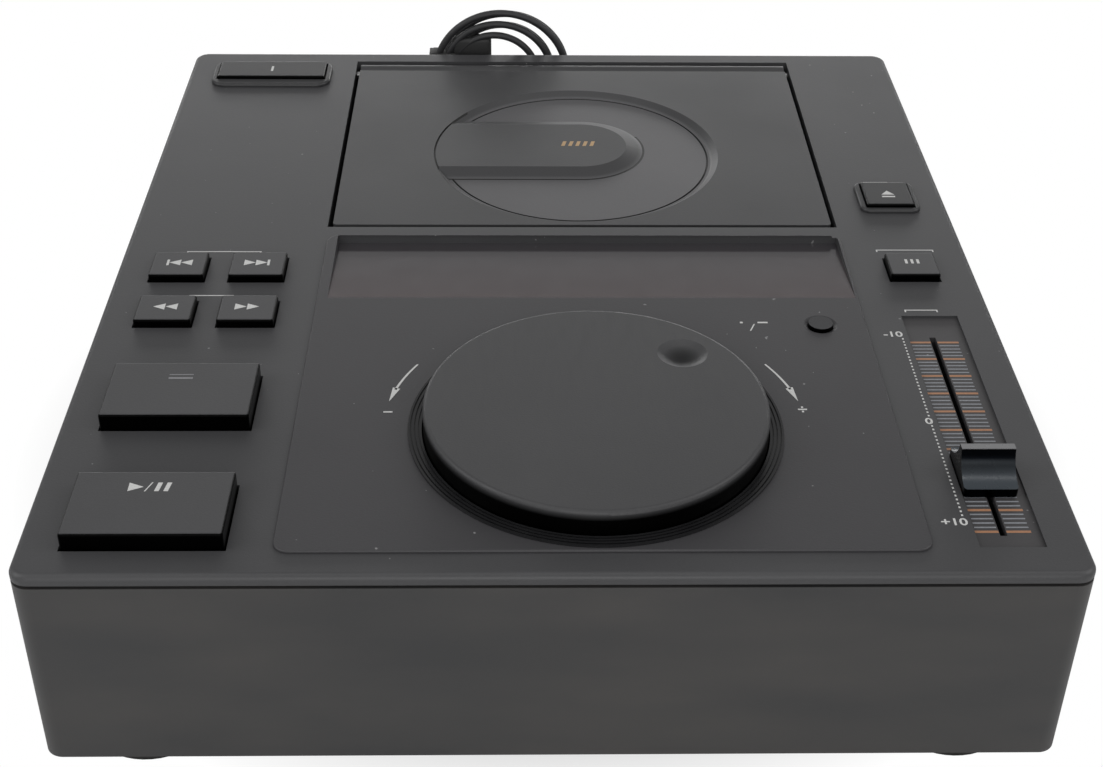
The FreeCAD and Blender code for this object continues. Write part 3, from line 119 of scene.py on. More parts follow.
class Finish:
    """A material with its shader, and one way to add any node to it."""

    def __init__(self, name, colour, roughness, **constants):
        self.material = bpy.data.materials.new(name)
        self.material.use_nodes = True
        self.tree = self.material.node_tree
        self.shader = self.tree.nodes["Principled BSDF"]
        self.shader.inputs["Base Color"].default_value = (*colour, 1)
        self.shader.inputs["Roughness"].default_value = roughness
        for socket, value in constants.items():
            self.shader.inputs[socket.replace("_", " ")].default_value = value
        place = self.tree.nodes.new("ShaderNodeTexCoord")
        self.place = Wire(self.tree, place.outputs["Object"])

    def node(self, kind, settings, sockets, output=0):
        item = self.tree.nodes.new(kind)
        for key, value in settings.items():
            setattr(item, key, value)
        for key, value in sockets.items():
            if isinstance(value, Wire):
                self.tree.links.new(value.socket, item.inputs[key])
            else:
                item.inputs[key].default_value = value
        return Wire(self.tree, item.outputs[output])

    def noise(self, scale, detail=3.0, stretch=None):
        place = self.place
        if stretch is not None:
            place = self.node("ShaderNodeMapping", {}, {"Vector": place, "Scale": stretch})
        return self.node("ShaderNodeTexNoise", {},
                         {"Vector": place, "Scale": scale, "Detail": detail})

    def between(self, value, low, high):
        """0 at the low value and beyond, 1 at the high one and beyond, and a straight run between."""
        return self.node("ShaderNodeMapRange", {},
                         {"Value": value, "From Min": low, "From Max": high})

    def mix(self, factor, first, second):
        pair = {0: factor}
        for key, value in ((6, first), (7, second)):
            pair[key] = value if isinstance(value, Wire) else (*value, 1)
        return self.node("ShaderNodeMix", {"data_type": "RGBA"}, pair, 2)

    def axis(self, letter):
        return self.node("ShaderNodeSeparateXYZ", {}, {"Vector": self.place}, "XYZ".index(letter))

    def upward(self):
        """How far the surface faces up, from its own geometry."""
        normal = self.tree.nodes.new("ShaderNodeNewGeometry").outputs["Normal"]
        return self.node("ShaderNodeSeparateXYZ", {}, {"Vector": Wire(self.tree, normal)}, 2)

    def feed(self, socket, value):
        self.tree.links.new(value.socket, self.shader.inputs[socket])

    def bump(self, height, depth, strength=1.0):
        self.feed("Normal", self.node("ShaderNodeBump", {}, {"Height": height, "Distance": depth,
                                                             "Strength": strength}))


FLOOR_SIZE = 8.0
FLOOR_COLOUR = (0.80, 0.80, 0.80)
FLOOR_DROP = 0.0002
GLOW_START, GLOW_FULL = 0.09, 0.21
SURROUND = 0.36

mesh = bpy.data.meshes.new("floor")
floor = bpy.data.objects.new("floor", mesh)
bpy.context.scene.collection.objects.link(floor)
shape = bmesh.new()
bmesh.ops.create_grid(shape, x_segments=1, y_segments=1, size=FLOOR_SIZE / 2)
bmesh.ops.translate(shape, verts=shape.verts, vec=(0, 0, -FLOOR_DROP))
shape.to_mesh(mesh)
shape.free()
paper = Finish("paper_floor", FLOOR_COLOUR, 0.9)
glow = paper.tree.nodes.new("ShaderNodeEmission")
glow.inputs["Color"].default_value = (1, 1, 1, 1)
rays = paper.tree.nodes.new("ShaderNodeLightPath")
away = paper.node("ShaderNodeVectorMath", {"operation": "LENGTH"}, {0: paper.place}, 1)
seen = Wire(paper.tree, rays.outputs["Is Camera Ray"]) * paper.between(away, GLOW_START, GLOW_FULL)
blend = paper.tree.nodes.new("ShaderNodeMixShader")
paper.tree.links.new(seen.socket, blend.inputs[0])
paper.tree.links.new(paper.shader.outputs[0], blend.inputs[1])
paper.tree.links.new(glow.outputs[0], blend.inputs[2])
paper.tree.links.new(blend.outputs[0], paper.tree.nodes["Material Output"].inputs[0])
mesh.materials.append(paper.material)

world = bpy.data.worlds.new("surround")
world.use_nodes = True
bpy.context.scene.world = world
sky = world.node_tree.nodes["Background"]
sky.inputs["Color"].default_value = (1, 1, 1, 1)
paths = world.node_tree.nodes.new("ShaderNodeLightPath")
direct = Wire(world.node_tree, paths.outputs["Is Camera Ray"])
world.node_tree.links.new((direct * (1 - SURROUND) + SURROUND).socket, sky.inputs["Strength"])

# name, place in metres, point it faces, width, depth, watts
LAMPS = (("back", (0.0, 1.9, 0.38), (0, 0.05, 0.08), 2.4, 0.3, 9.0),
         ("strip", (0.0, -0.25, 1.6), (0, -0.1, 0.05), 2.2, 0.07, 4.0),
         ("left", (-1.2, -0.3, 0.9), (0, 0, 0.05), 0.8, 0.8, 5.0),
         ("right", (1.2, -0.2, 0.9), (0, 0, 0.05), 0.8, 0.8, 4.0),
         ("front", (0.0, -1.3, 0.6), (0, -0.1, 0.05), 1.0, 0.5, 4.5))
for name, spot, aim, width, depth, watts in LAMPS:
    lamp_data = bpy.data.lights.new("lamp_" + name, "AREA")
    lamp_data.shape = "RECTANGLE"
    lamp_data.size = width
    lamp_data.size_y = depth
    lamp_data.energy = watts
    lamp = bpy.data.objects.new("lamp_" + name, lamp_data)
    bpy.context.scene.collection.objects.link(lamp)
    lamp.location = spot
    lamp.rotation_euler = (Vector(aim) - Vector(spot)).to_track_quat("-Z", "Y").to_euler()


# Case: a black moulded tray, smooth and slightly glossy, with hand marks on its walls. A
# steel sheet closes it from below, and four rubber feet are screwed to that.
DUST_LEVEL, DUST_COVER, DUST_GREY = 0.882, 0.35, (0.5, 0.5, 0.5)
FINE_GRAIN = 1500.0


def moulded(name, dark, light, roughness, grain):
    """Moulded plastic: an eroded grain, cloudy handling marks and a few specks of dust."""
    finish = Finish(name, dark, roughness)
    clouds = finish.noise(22.0, 4.0)
    fine = finish.noise(FINE_GRAIN, 2.0)
    worn = clouds * 0.65 + fine * 0.35
    dust = finish.noise(520.0, 0.0) > DUST_LEVEL
    finish.feed("Base Color", finish.mix(dust * DUST_COVER, finish.mix(worn, dark, light), DUST_GREY))
    finish.feed("Roughness", roughness - 0.1 + clouds * 0.2)
    finish.bump(fine, grain)
    return finish


def dress(finish, *nodes):
    """Give CAD pieces this finish."""
    for node in nodes:
        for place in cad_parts[node].material_slots:
            place.material = finish.material


wall_plastic = Finish("wall_plastic", (0.030, 0.030, 0.030), 0.42)
wall_plastic.bump(wall_plastic.noise(FINE_GRAIN, 2.0), 0.00001)
smears = wall_plastic.noise(13.0, 6.0, (1.0, 1.0, 3.2))
wall_plastic.feed("Base Color", wall_plastic.mix(wall_plastic.between(smears, 0.32, 0.7),
                                                 (0.034, 0.034, 0.035), (0.053, 0.050, 0.048)))
wall_plastic.feed("Roughness", 0.30 + smears * 0.26)
dress(wall_plastic, "case_walls")

zinc = Finish("zinc_sheet", (0.42, 0.42, 0.41), 0.36, Metallic=1.0)
rolled = zinc.noise(60.0, 5.0, (1.0, 14.0, 1.0))
zinc.feed("Roughness", 0.26 + rolled * 0.24)
zinc.feed("Base Color", zinc.mix(rolled, (0.34, 0.34, 0.34), (0.52, 0.52, 0.50)))
dress(zinc, "base_plate", "mechanism_plate", "jog_bracket", "hinge_brackets")

foot_rubber = Finish("foot_rubber", (0.02, 0.02, 0.02), 0.8)
dusty = foot_rubber.noise(90.0, 5.0)
foot_rubber.feed("Base Color", foot_rubber.mix(dusty, (0.012, 0.012, 0.012), (0.045, 0.044, 0.042)))
foot_rubber.bump(foot_rubber.noise(900.0), 0.00005)
dress(foot_rubber, "feet", "damper_mounts")


# Rear: a black painted steel sheet sunk in the wall, held by four screws. Its plated sockets
# stand on a black plate and have coloured collars, and a ribbed rubber sleeve guards the lead.
REAR_FACE = 173.5
REAR_SCREWS = ((-121, 53), (-121, 23), (145, 53), (145, 23))
SCREW_PROFILE = ((0, 0.7), (1.1, 0.7), (1.3, 1.6), (2.1, 1.4), (2.9, 0.8), (3.1, 0))
COLLARS = (("left", 118, (0.62, 0.62, 0.60)), ("right", 136, (0.42, 0.02, 0.018)))
COLLAR_PROFILE = ((4.3, 1.0), (4.3, 2.2), (6.1, 2.2), (6.6, 1.7), (6.6, 1.0), (4.3, 1.0))
JACK_Z = 38
JACK_PLATE = 1.1
EXIT_X, EXIT_Z = -105, 36
RELIEF_LENGTH = 22
RELIEF_FLANGE = ((0, 0), (6, 0), (6, 2), (4.9, 2.3))
RIBS = 7
RIB_START, RIB_BASE, RIB_TAPER, RIB_CUT = 2.6, 4.5, 1.8, 0.55
TO_BACK = Matrix.Rotation(-math.pi / 2, 3, "X")


def turned(profile, spot, tilt=None, steps=40):
    """A lathe-turned shape from an outline of (radius, height) in millimetres."""
    shape = bmesh.new()
    corners = [shape.verts.new((radius * MM, 0, height * MM)) for radius, height in profile]
    edges = [shape.edges.new(pair) for pair in zip(corners, corners[1:])]
    bmesh.ops.spin(shape, geom=corners + edges, cent=(0, 0, 0), axis=(0, 0, 1),
                   angle=2 * math.pi, steps=steps, use_merge=True)
    bmesh.ops.remove_doubles(shape, verts=shape.verts, dist=0.000001)
    bmesh.ops.recalc_face_normals(shape, faces=shape.faces)
    if tilt is not None:
        bmesh.ops.rotate(shape, verts=shape.verts, matrix=tilt)
    bmesh.ops.translate(shape, verts=shape.verts, vec=Vector(spot) * MM)
    return shape


def set_down(shapes, name, finish, body, slot, *nodes):
    """One new piece from its shapes: finish, smooth shading, body and the nodes it replaces. The slot
    argument is not used.
    """
    mesh = bpy.data.meshes.new(name)
    whole = bmesh.new()
    for shape in shapes:
        part = bpy.data.meshes.new(name + "_part")
        shape.to_mesh(part)
        shape.free()
        whole.from_mesh(part)
        bpy.data.meshes.remove(part)
    whole.to_mesh(mesh)
    whole.free()
    mesh.shade_smooth()
    mesh.set_sharp_from_angle(angle=math.radians(32))
    mesh.materials.append(finish.material)
    piece = bpy.data.objects.new(name, mesh)
    bpy.context.scene.collection.objects.link(piece)
    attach(piece, body)
    if nodes:
        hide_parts(*nodes)
    return piece


rear_paint = moulded("rear_paint", (0.018, 0.018, 0.019), (0.032, 0.032, 0.033), 0.5, 0.00002)
dress(rear_paint, "rear_panel")
steel = Finish("turned_steel", (0.5, 0.5, 0.5), 0.3, Metallic=1.0)
drawn = steel.noise(700.0, 3.0)
steel.feed("Roughness", 0.2 + drawn * 0.22)
steel.feed("Base Color", steel.mix(drawn, (0.42, 0.42, 0.43), (0.62, 0.62, 0.61)))
dress(steel, "foot_screws", "jog_shaft", "hinge_pins", "guide_rods", "spindle_motor", "tempo_lever")
set_down([turned(SCREW_PROFILE, (x, REAR_FACE, z), TO_BACK) for x, z in REAR_SCREWS],
         "rear_screws", steel, "case", "steel")

plating = Finish("bright_plating", (0.72, 0.58, 0.30), 0.25, Metallic=1.0)
rubbed = plating.noise(400.0, 4.0)
plating.feed("Roughness", 0.15 + rubbed * 0.25)
plating.feed("Base Color", plating.mix(rubbed, (0.78, 0.66, 0.38), (0.58, 0.45, 0.22)))
dress(plating, "plug_blades")
socket_finish = Finish("socket_finish", (0.02, 0.02, 0.02), 0.4)
proud = socket_finish.axis("Y") > (REAR_FACE + JACK_PLATE) * MM
worn = socket_finish.noise(400.0, 4.0)
gold = socket_finish.mix(worn, (0.78, 0.66, 0.38), (0.58, 0.45, 0.22))
socket_finish.feed("Base Color", socket_finish.mix(proud, (0.016, 0.016, 0.017), gold))
socket_finish.feed("Metallic", proud)
socket_finish.feed("Roughness", 0.42 - proud * 0.2 + worn * 0.1)
dress(socket_finish, "audio_jacks")
for side, x, colour in COLLARS:
    nylon = Finish("collar_nylon_" + side, colour, 0.4)
    nylon.feed("Roughness", 0.3 + nylon.noise(500.0) * 0.25)
    set_down([turned(COLLAR_PROFILE, (x, REAR_FACE, JACK_Z), TO_BACK)], "jack_collar_" + side,
             nylon, "case", "brass")

relief_profile = list(RELIEF_FLANGE)
rib_step = (RELIEF_LENGTH - 3) / RIBS
for rib in range(RIBS):
    low = RIB_START + rib * rib_step
    radius = RIB_BASE - RIB_TAPER * rib / (RIBS - 1)
    relief_profile += [(radius, low), (radius, low + rib_step * 0.55),
                       (radius - RIB_CUT, low + rib_step * 0.62),
                       (radius - RIB_CUT, low + rib_step * 0.93)]
relief_profile += [(2.1, RELIEF_LENGTH), (1.5, RELIEF_LENGTH), (0, RELIEF_LENGTH - 0.4)]
cord_rubber = Finish("cord_rubber", (0.02, 0.02, 0.02), 0.6)
cord_rubber.feed("Roughness", 0.5 + cord_rubber.noise(400.0) * 0.2)
cord_rubber.bump(cord_rubber.noise(1200.0), 0.00002)
relief = set_down([turned(relief_profile, (EXIT_X, REAR_FACE, EXIT_Z), TO_BACK)], "lead_sleeve",
                  cord_rubber, "case", "cord", "strain_relief")


# Top panel and the raised centre panel: dark grey plastic with an even eroded grain, one
# moulding that drops over the walls. Small white marks are printed beside the keys.
PANEL_Z = 84.5
CENTRE_Z = 85.5
INK_THICKNESS = 0.04
BRACKETS = ((-122.1, 1.6, 28), (-122.4, -29.8, 16), (-122.1, -138.4, 24), (134.8, 57.6, 10),
            (136.6, 3.2, 22), (134.6, -39.6, 12))
BAR_WIDTH = 0.5
HOOK_DROP, HOOK_DEPTH = 0.8, 1.1


def bar(x, y, width, depth, lean=0.0):
    """Corners of an upright or leaning bar about its middle."""
    return [(x - width / 2 - lean, y - depth / 2), (x + width / 2 - lean, y - depth / 2),
            (x + width / 2 + lean, y + depth / 2), (x - width / 2 + lean, y + depth / 2)]


def arrow(x, y, width, depth):
    """Corners of a triangle that points right, or left where its width is negative."""
    corners = [(x - width / 2, y - depth / 2), (x + width / 2, y), (x - width / 2, y + depth / 2)]
    return corners if width > 0 else corners[::-1]


def ink_shape(outlines, z):
    """Thin raised ink from flat outlines in millimetres."""
    shape = bmesh.new()
    for outline in outlines:
        shape.faces.new([shape.verts.new((x * MM, y * MM, z * MM)) for x, y in outline])
    grown = bmesh.ops.extrude_face_region(shape, geom=shape.faces[:])["geom"]
    bmesh.ops.translate(shape, verts=[item for item in grown if isinstance(item, bmesh.types.BMVert)],
                        vec=(0, 0, INK_THICKNESS * MM))
    bmesh.ops.recalc_face_normals(shape, faces=shape.faces)
    return shape


def ink_finish(name, dark, light):
    """Screen-printed ink, a little uneven where it was pressed on."""
    finish = Finish(name, light, 0.55)
    finish.feed("Base Color", finish.mix(finish.noise(1800.0), dark, light))
    finish.feed("Roughness", 0.45 + finish.noise(300.0) * 0.2)
    return finish


panel_plastic = moulded("panel_plastic", (0.040, 0.040, 0.042), (0.064, 0.064, 0.067), 0.46, 0.00003)
dress(panel_plastic, "top_panel")
centre_plastic = moulded("centre_plastic", (0.034, 0.033, 0.036), (0.052, 0.051, 0.054), 0.48, 0.00003)
dress(centre_plastic, "control_panel")

white_ink = ink_finish("white_ink", (0.48, 0.48, 0.47), (0.70, 0.70, 0.69))
marks = [bar(x, y, width, BAR_WIDTH) for x, y, width in BRACKETS]
for x, y, width in BRACKETS:
    for side in (-1, 1):
        marks.append(bar(x + side * (width - BAR_WIDTH) / 2, y - HOOK_DROP, BAR_WIDTH, HOOK_DEPTH))
set_down([ink_shape(marks, PANEL_Z)], "panel_marks", white_ink, "case", "top_shell")


# Lid: the same grey plastic, moulded with a sunk picture of a disc and a plain tongue across
# it. It turns on two steel pins, and a black liner below holds the clamper.
# Crease, relief heights and groove heights are in metres, and the rest is in millimetres.
CREASE_Y = 0.1653
CREASE_REACH = 0.00028
RELIEF_HIGH, RELIEF_LOW = 0.0829, 0.0823
GROOVE_TOP, GROOVE_FLOOR = RELIEF_LOW - 0.0002, 0.0812
FOOT_GAP, FOOT_REACH, FOOT_BACK = 0.35, 0.00045, 0.012
RELIEF_RADIUS = 59.5
LEFT_SHADE_GAP, LEFT_SHADE_REACH, LEFT_SHADE_END = 0.4, 0.00042, -33
LID_DARK, LID_LIGHT = (0.036, 0.036, 0.038), (0.056, 0.056, 0.058)
# Painted shade: this near black goes in the crease at the rear bevel, along the foot of the tongue, on
# the left of the disc's outline and in the groove round the relief floor.
CREASE_SHADE_BLACK = (0.004, 0.004, 0.004)
DISC_X, DISC_Y = 13.3, 84.5
TONGUE_END, TONGUE_MIDDLE, TONGUE_HALF = 15.3, 90.6, 26.4
BADGE_X, BADGE_Y, BADGE_STEP = 14.4, 91.8, 3.0
BADGE_WIDTH, BADGE_DEPTH, BADGE_LEAN = 1.5, 4.2, 0.5

lid_plastic = moulded("lid_plastic", LID_DARK, LID_LIGHT, 0.46, 0.00003)
lid_x, lid_y, lid_z = (lid_plastic.axis(letter) for letter in "XYZ")
from_centre_x = lid_x - DISC_X * MM
from_centre_y = lid_y - DISC_Y * MM
disc_reach = (from_centre_x * from_centre_x + from_centre_y * from_centre_y).join("SQRT")
from_end_x = (lid_x - TONGUE_END * MM).join("MAXIMUM", 0.0)
from_end_y = lid_y - TONGUE_MIDDLE * MM
tongue_reach = (from_end_x * from_end_x + from_end_y * from_end_y).join("SQRT")
# Masks for that painted shade in the crease, along the tongue's foot, on the disc's outline and in the
# groove.
crease_shade = lid_y.near(CREASE_Y, CREASE_REACH)
foot_shade = tongue_reach.near((TONGUE_HALF + FOOT_GAP) * MM, FOOT_REACH) * (RELIEF_HIGH > lid_z)
foot_shade = foot_shade * (TONGUE_MIDDLE * MM + FOOT_BACK > lid_y)
left_shade = disc_reach.near((RELIEF_RADIUS - LEFT_SHADE_GAP) * MM, LEFT_SHADE_REACH)
left_shade = left_shade * (LEFT_SHADE_END * MM > lid_x)
groove_shade = (GROOVE_TOP > lid_z) * (lid_z > GROOVE_FLOOR)
crease_shade = (crease_shade + foot_shade + left_shade + groove_shade).join("MINIMUM", 1.0)
lid_clouds = lid_plastic.noise(16.0, 4.0) * 0.6 + lid_plastic.noise(FINE_GRAIN, 2.0) * 0.4
sunk = lid_plastic.between(lid_z, RELIEF_HIGH, RELIEF_LOW)
lid_tone = lid_plastic.mix(lid_clouds, LID_DARK, LID_LIGHT)
relief_tone = lid_plastic.mix(lid_clouds, (0.080, 0.079, 0.082), (0.106, 0.105, 0.109))
lid_plastic.feed("Base Color", lid_plastic.mix(crease_shade, lid_plastic.mix(sunk, lid_tone, relief_tone),
                                               CREASE_SHADE_BLACK))
dress(lid_plastic, "lid_cover")

inner_plastic = moulded("inner_plastic", (0.016, 0.016, 0.017), (0.030, 0.030, 0.031), 0.55, 0.00003)
dress(inner_plastic, "lid_liner", "disc_clamper", "lid_latch", "disc_well", "encoder_disc",
      "key_switches", "tempo_fader")

amber_ink = ink_finish("amber_ink", (0.36, 0.22, 0.10), (0.55, 0.38, 0.20))
badge = [bar(BADGE_X + step * BADGE_STEP, BADGE_Y, BADGE_WIDTH, BADGE_DEPTH, BADGE_LEAN)
         for step in (-2, -1, 0, 1, 2)]
set_down([ink_shape(badge, PANEL_Z)], "lid_badge", amber_ink, "lid", "top_shell")


# Mechanism: a rubber-topped turntable on its motor, and a sled with a small glass lens that
# slides on two rods.
DISC_Z = 70
PAD_PROFILE = ((8.4, 0), (8.4, 0.35), (8.8, 0.5), (12.9, 0.5), (13.4, 0.3), (13.4, 0))

platter_finish = moulded("platter_plastic", (0.022, 0.022, 0.023), (0.05, 0.05, 0.05), 0.35, 0.00001)
dress(platter_finish, "turntable", "pickup_sled")
pad_rubber = Finish("pad_rubber", (0.03, 0.03, 0.03), 0.85)
pad_rubber.bump(pad_rubber.noise(1600.0), 0.00004)
pad_rubber.feed("Base Color", pad_rubber.mix(pad_rubber.noise(200.0), (0.02, 0.02, 0.02),
                                             (0.05, 0.05, 0.05)))
set_down([turned(PAD_PROFILE, (DISC_X, DISC_Y, DISC_Z - 0.1), steps=64)], "platter_pad", pad_rubber,
         "turntable", "rubber")
optic = Finish("optic_glass", (0.05, 0.07, 0.16), 0.06, Coat_Weight=1.0)
optic.feed("Base Color", optic.mix(optic.noise(300.0), (0.03, 0.05, 0.14), (0.10, 0.10, 0.22)))
dress(optic, "pickup_lens", "display_tube")


# Display window: smoked acrylic over the tube, flush at the front and sunk at the back, so
# it slopes. It picks up a warm tint near its front edge and a cool one at the back.
WINDOW_FRONT, WINDOW_BACK = -0.0327, 0.0125

smoked = Finish("smoked_acrylic", (0.03, 0.028, 0.03), 0.16, Coat_Weight=0.6, Coat_Roughness=0.06)
across = smoked.between(smoked.axis("Y"), WINDOW_FRONT, WINDOW_BACK)
haze = smoked.noise(14.0, 3.0, (1.0, 4.0, 1.0))
front_tint = smoked.mix(haze, (0.046, 0.031, 0.033), (0.056, 0.042, 0.044))
smoked.feed("Base Color", smoked.mix(across, front_tint, (0.034, 0.032, 0.036)))
smoked.feed("Roughness", 0.12 + smoked.noise(120.0, 4.0) * 0.12)
dress(smoked, "display_lens")


# Jog dial: a wide grey cup with a finger dimple, turning inside a glossy black grooved ring; its side
# wall is painted black as shade.
# Two curved arrows and a plus and a minus are printed on the centre panel beside it.
JOG_X, JOG_Y = 14.2, -111.6
JOG_TOP = 95
# Near black painted as shade on the walls of the jog dial and of the keys.
WALL_SHADE_BLACK = (0.003, 0.003, 0.003)
ARROW_RADIUS = 69.4
ARROW_BEND = (31.0, 11.5)
ARROW_STEPS = 8
ARROW_TAIL, ARROW_NECK = 0.7, 0.66
HEAD_HALF = 1.3
SIGN_LONG, SIGN_THIN = 3.0, 0.7
MINUS_X, MINUS_Y = -53.8, -103.6
PLUS_X, PLUS_Y = 83.0, -102.4
TIME_MARKS = ((68.4, -49.4, 1.0, 1.0, 0.0), (76.0, -49.4, 3.6, 0.9, 0.0), (72.0, -52.6, 0.5, 4.4, 0.9))

jog_grey = Finish("jog_grey", (0.045, 0.045, 0.047), 0.46)
# Painted shade: below its top the dial's side wall is near black and metallic, so it stays dark.
jog_top = jog_grey.between(jog_grey.axis("Z"), (JOG_TOP - 3.5) * MM, (JOG_TOP - 1.2) * MM)
scratches = jog_grey.noise(240.0, 3.0, (1.0, 0.25, 1.0))
jog_fine = jog_grey.noise(1600.0, 2.0)
jog_tone = jog_grey.mix(jog_grey.noise(26.0, 5.0) * 0.5 + jog_fine * 0.5, (0.036, 0.036, 0.038),
                        (0.058, 0.058, 0.060))
jog_grey.feed("Base Color", jog_grey.mix(jog_top, WALL_SHADE_BLACK, jog_tone))
jog_grey.feed("Metallic", 1 - jog_top)
jog_grey.feed("Roughness", 0.36 + scratches * 0.22)
jog_grey.bump(jog_fine, 0.00003)
dress(jog_grey, "jog_dial")

ring_gloss = Finish("ring_gloss", (0.012, 0.012, 0.013), 0.2)
ring_gloss.feed("Roughness", 0.14 + ring_gloss.noise(90.0, 4.0) * 0.16)
ring_gloss.feed("Base Color", ring_gloss.mix(ring_gloss.noise(60.0), (0.008, 0.008, 0.009),
                                             (0.022, 0.022, 0.023)))
dress(ring_gloss, "jog_ring")


def bent_arrow(side):
    """Outlines of a curved arrow round the dial: a widening line and its head."""
    first, last = (math.radians(angle) for angle in ARROW_BEND)
    bend = []
    for step in range(ARROW_STEPS + 1):
        share = step / ARROW_STEPS
        bend.append((first + (last - first) * ARROW_TAIL * share, 0.3 + 0.12 * share))

    def spot(angle, radius):
        return (JOG_X + side * math.cos(angle) * radius, JOG_Y + math.sin(angle) * radius)

    outlines = []
    for (angle, half), (next_angle, next_half) in zip(bend, bend[1:]):
        outlines.append([spot(angle, ARROW_RADIUS + half), spot(next_angle, ARROW_RADIUS + next_half),
                         spot(next_angle, ARROW_RADIUS - next_half), spot(angle, ARROW_RADIUS - half)])
    neck = first + (last - first) * ARROW_NECK
    outlines.append([spot(neck, ARROW_RADIUS + HEAD_HALF), spot(last, ARROW_RADIUS),
                     spot(neck, ARROW_RADIUS - HEAD_HALF)])
    return outlines


jog_marks = bent_arrow(1) + bent_arrow(-1)
jog_marks += [bar(MINUS_X, MINUS_Y, SIGN_LONG, SIGN_THIN), bar(PLUS_X, PLUS_Y, SIGN_LONG, SIGN_THIN)]
jog_marks += [bar(PLUS_X, PLUS_Y + side * 1.2, SIGN_THIN, 0.85) for side in (1, -1)]
jog_marks += [bar(*mark) for mark in TIME_MARKS]
set_down([ink_shape(jog_marks, CENTRE_Z)], "centre_marks", white_ink, "case", "top_shell")


# Keys: moulded caps that stand proud of the panel, each with a grained grey top and a printed sign,
# and with walls painted black as shade. A stem under each reaches its switch.
CAP_TOP = 87.5
BIG_TOP = 90.5
TRACK_Y, SEARCH_Y = -11.4, -42.0
LEFT_X, RIGHT_X = -136.8, -107.6
MODE_X, MODE_Y = 136.6, -10.2
PLAY_Y = -149.4
CUE_X, CUE_Y = -123.0, -91.2
SIGN_WIDTH, SIGN_DEPTH = 4.2, 4.0
FACE_LOW, FACE_HIGH = 0.80, 0.97


def key_finish(name, dark, light):
    """Grained grey on top, and walls painted black as shade and made metallic so that they reflect
    nothing.
    """
    finish = Finish(name, light, 0.48)
    above = finish.between(finish.upward(), FACE_LOW, FACE_HIGH)
    fine = finish.noise(FINE_GRAIN, 2.0)
    tone = finish.mix(fine * 0.5 + finish.noise(40.0) * 0.5, dark, light)
    # Painted shade: faces that do not look up are near black and metallic.
    finish.feed("Base Color", finish.mix(above, WALL_SHADE_BLACK, tone))
    finish.feed("Roughness", 0.34 + above * 0.14)
    finish.feed("Metallic", 1 - above)
    finish.bump(fine, 0.00003)
    return finish


cap_plastic = key_finish("cap_plastic", (0.045, 0.045, 0.047), (0.065, 0.065, 0.068))
dress(cap_plastic, "track_back_button", "track_next_button", "search_back_button",
      "search_forward_button", "cue_button", "play_button", "tempo_mode_button")
time_plastic = key_finish("time_plastic", (0.012, 0.012, 0.014), (0.032, 0.032, 0.035))
dress(time_plastic, "time_button")

SIGNS = (
    ("track_back", CAP_TOP, [bar(LEFT_X - 4.0, TRACK_Y, 0.9, SIGN_DEPTH),
                             arrow(LEFT_X - 1.4, TRACK_Y, -SIGN_WIDTH, SIGN_DEPTH),
                             arrow(LEFT_X + 2.9, TRACK_Y, -SIGN_WIDTH, SIGN_DEPTH)]),
    ("track_next", CAP_TOP, [arrow(RIGHT_X - 2.9, TRACK_Y, SIGN_WIDTH, SIGN_DEPTH),
                             arrow(RIGHT_X + 1.4, TRACK_Y, SIGN_WIDTH, SIGN_DEPTH),
                             bar(RIGHT_X + 4.0, TRACK_Y, 0.9, SIGN_DEPTH)]),
    ("search_back", CAP_TOP, [arrow(LEFT_X - 2.1, SEARCH_Y, -SIGN_WIDTH, SIGN_DEPTH),
                              arrow(LEFT_X + 2.3, SEARCH_Y, -SIGN_WIDTH, SIGN_DEPTH)]),
    ("search_forward", CAP_TOP, [arrow(RIGHT_X - 2.3, SEARCH_Y, SIGN_WIDTH, SIGN_DEPTH),
                                 arrow(RIGHT_X + 2.1, SEARCH_Y, SIGN_WIDTH, SIGN_DEPTH)]),
    ("tempo_mode", CAP_TOP, [bar(MODE_X + shift, MODE_Y, 1.0, 3.0) for shift in (-2.2, 0, 2.2)]),
    ("play", BIG_TOP, [arrow(-127.2, PLAY_Y, 4.6, 4.2), bar(-123.4, PLAY_Y, 0.4, 4.4, 0.9),
                       bar(-120.4, PLAY_Y, 1.4, 4.2, 0.35), bar(-117.6, PLAY_Y, 1.4, 4.2, 0.35)]),
)
for key, z, outlines in SIGNS:
    set_down([ink_shape(outlines, z)], key + "_sign", white_ink, key, "button")
grey_ink = ink_finish("grey_ink", (0.16, 0.16, 0.17), (0.26, 0.26, 0.27))
set_down([ink_shape([bar(CUE_X, CUE_Y, 8.0, 1.0), bar(CUE_X, CUE_Y + 2.0, 8.0, 0.5)], BIG_TOP)],
         "cue_sign", grey_ink, "cue", "button")


# Power and eject keys: glossy black caps, each in a raised rounded frame, with a printed sign.
POWER_TOP = 87.3
POWER_X, POWER_Y = -122.2, 160.2
EJECT_X, EJECT_Y = 136.9, 43.6

# Their walls are painted black as shade, as with the other keys.
gloss_key = key_finish("gloss_key", (0.020, 0.020, 0.021), (0.036, 0.036, 0.038))
dress(gloss_key, "power_button", "eject_button")
frame_plastic = moulded("frame_plastic", (0.022, 0.022, 0.023), (0.036, 0.036, 0.038), 0.4, 0.00002)
dress(frame_plastic, "power_bezel", "eject_bezel")
set_down([ink_shape([[(EJECT_X - 2.6, EJECT_Y - 1.4), (EJECT_X + 2.6, EJECT_Y - 1.4),
                      (EJECT_X, EJECT_Y + 1.8)], bar(EJECT_X, EJECT_Y - 3.0, 5.2, 1.0)], POWER_TOP)],
         "eject_sign", white_ink, "eject", "button")
set_down([ink_shape([bar(POWER_X, POWER_Y, 1.0, 5.0)], POWER_TOP)], "power_sign", white_ink,
         "power", "button")


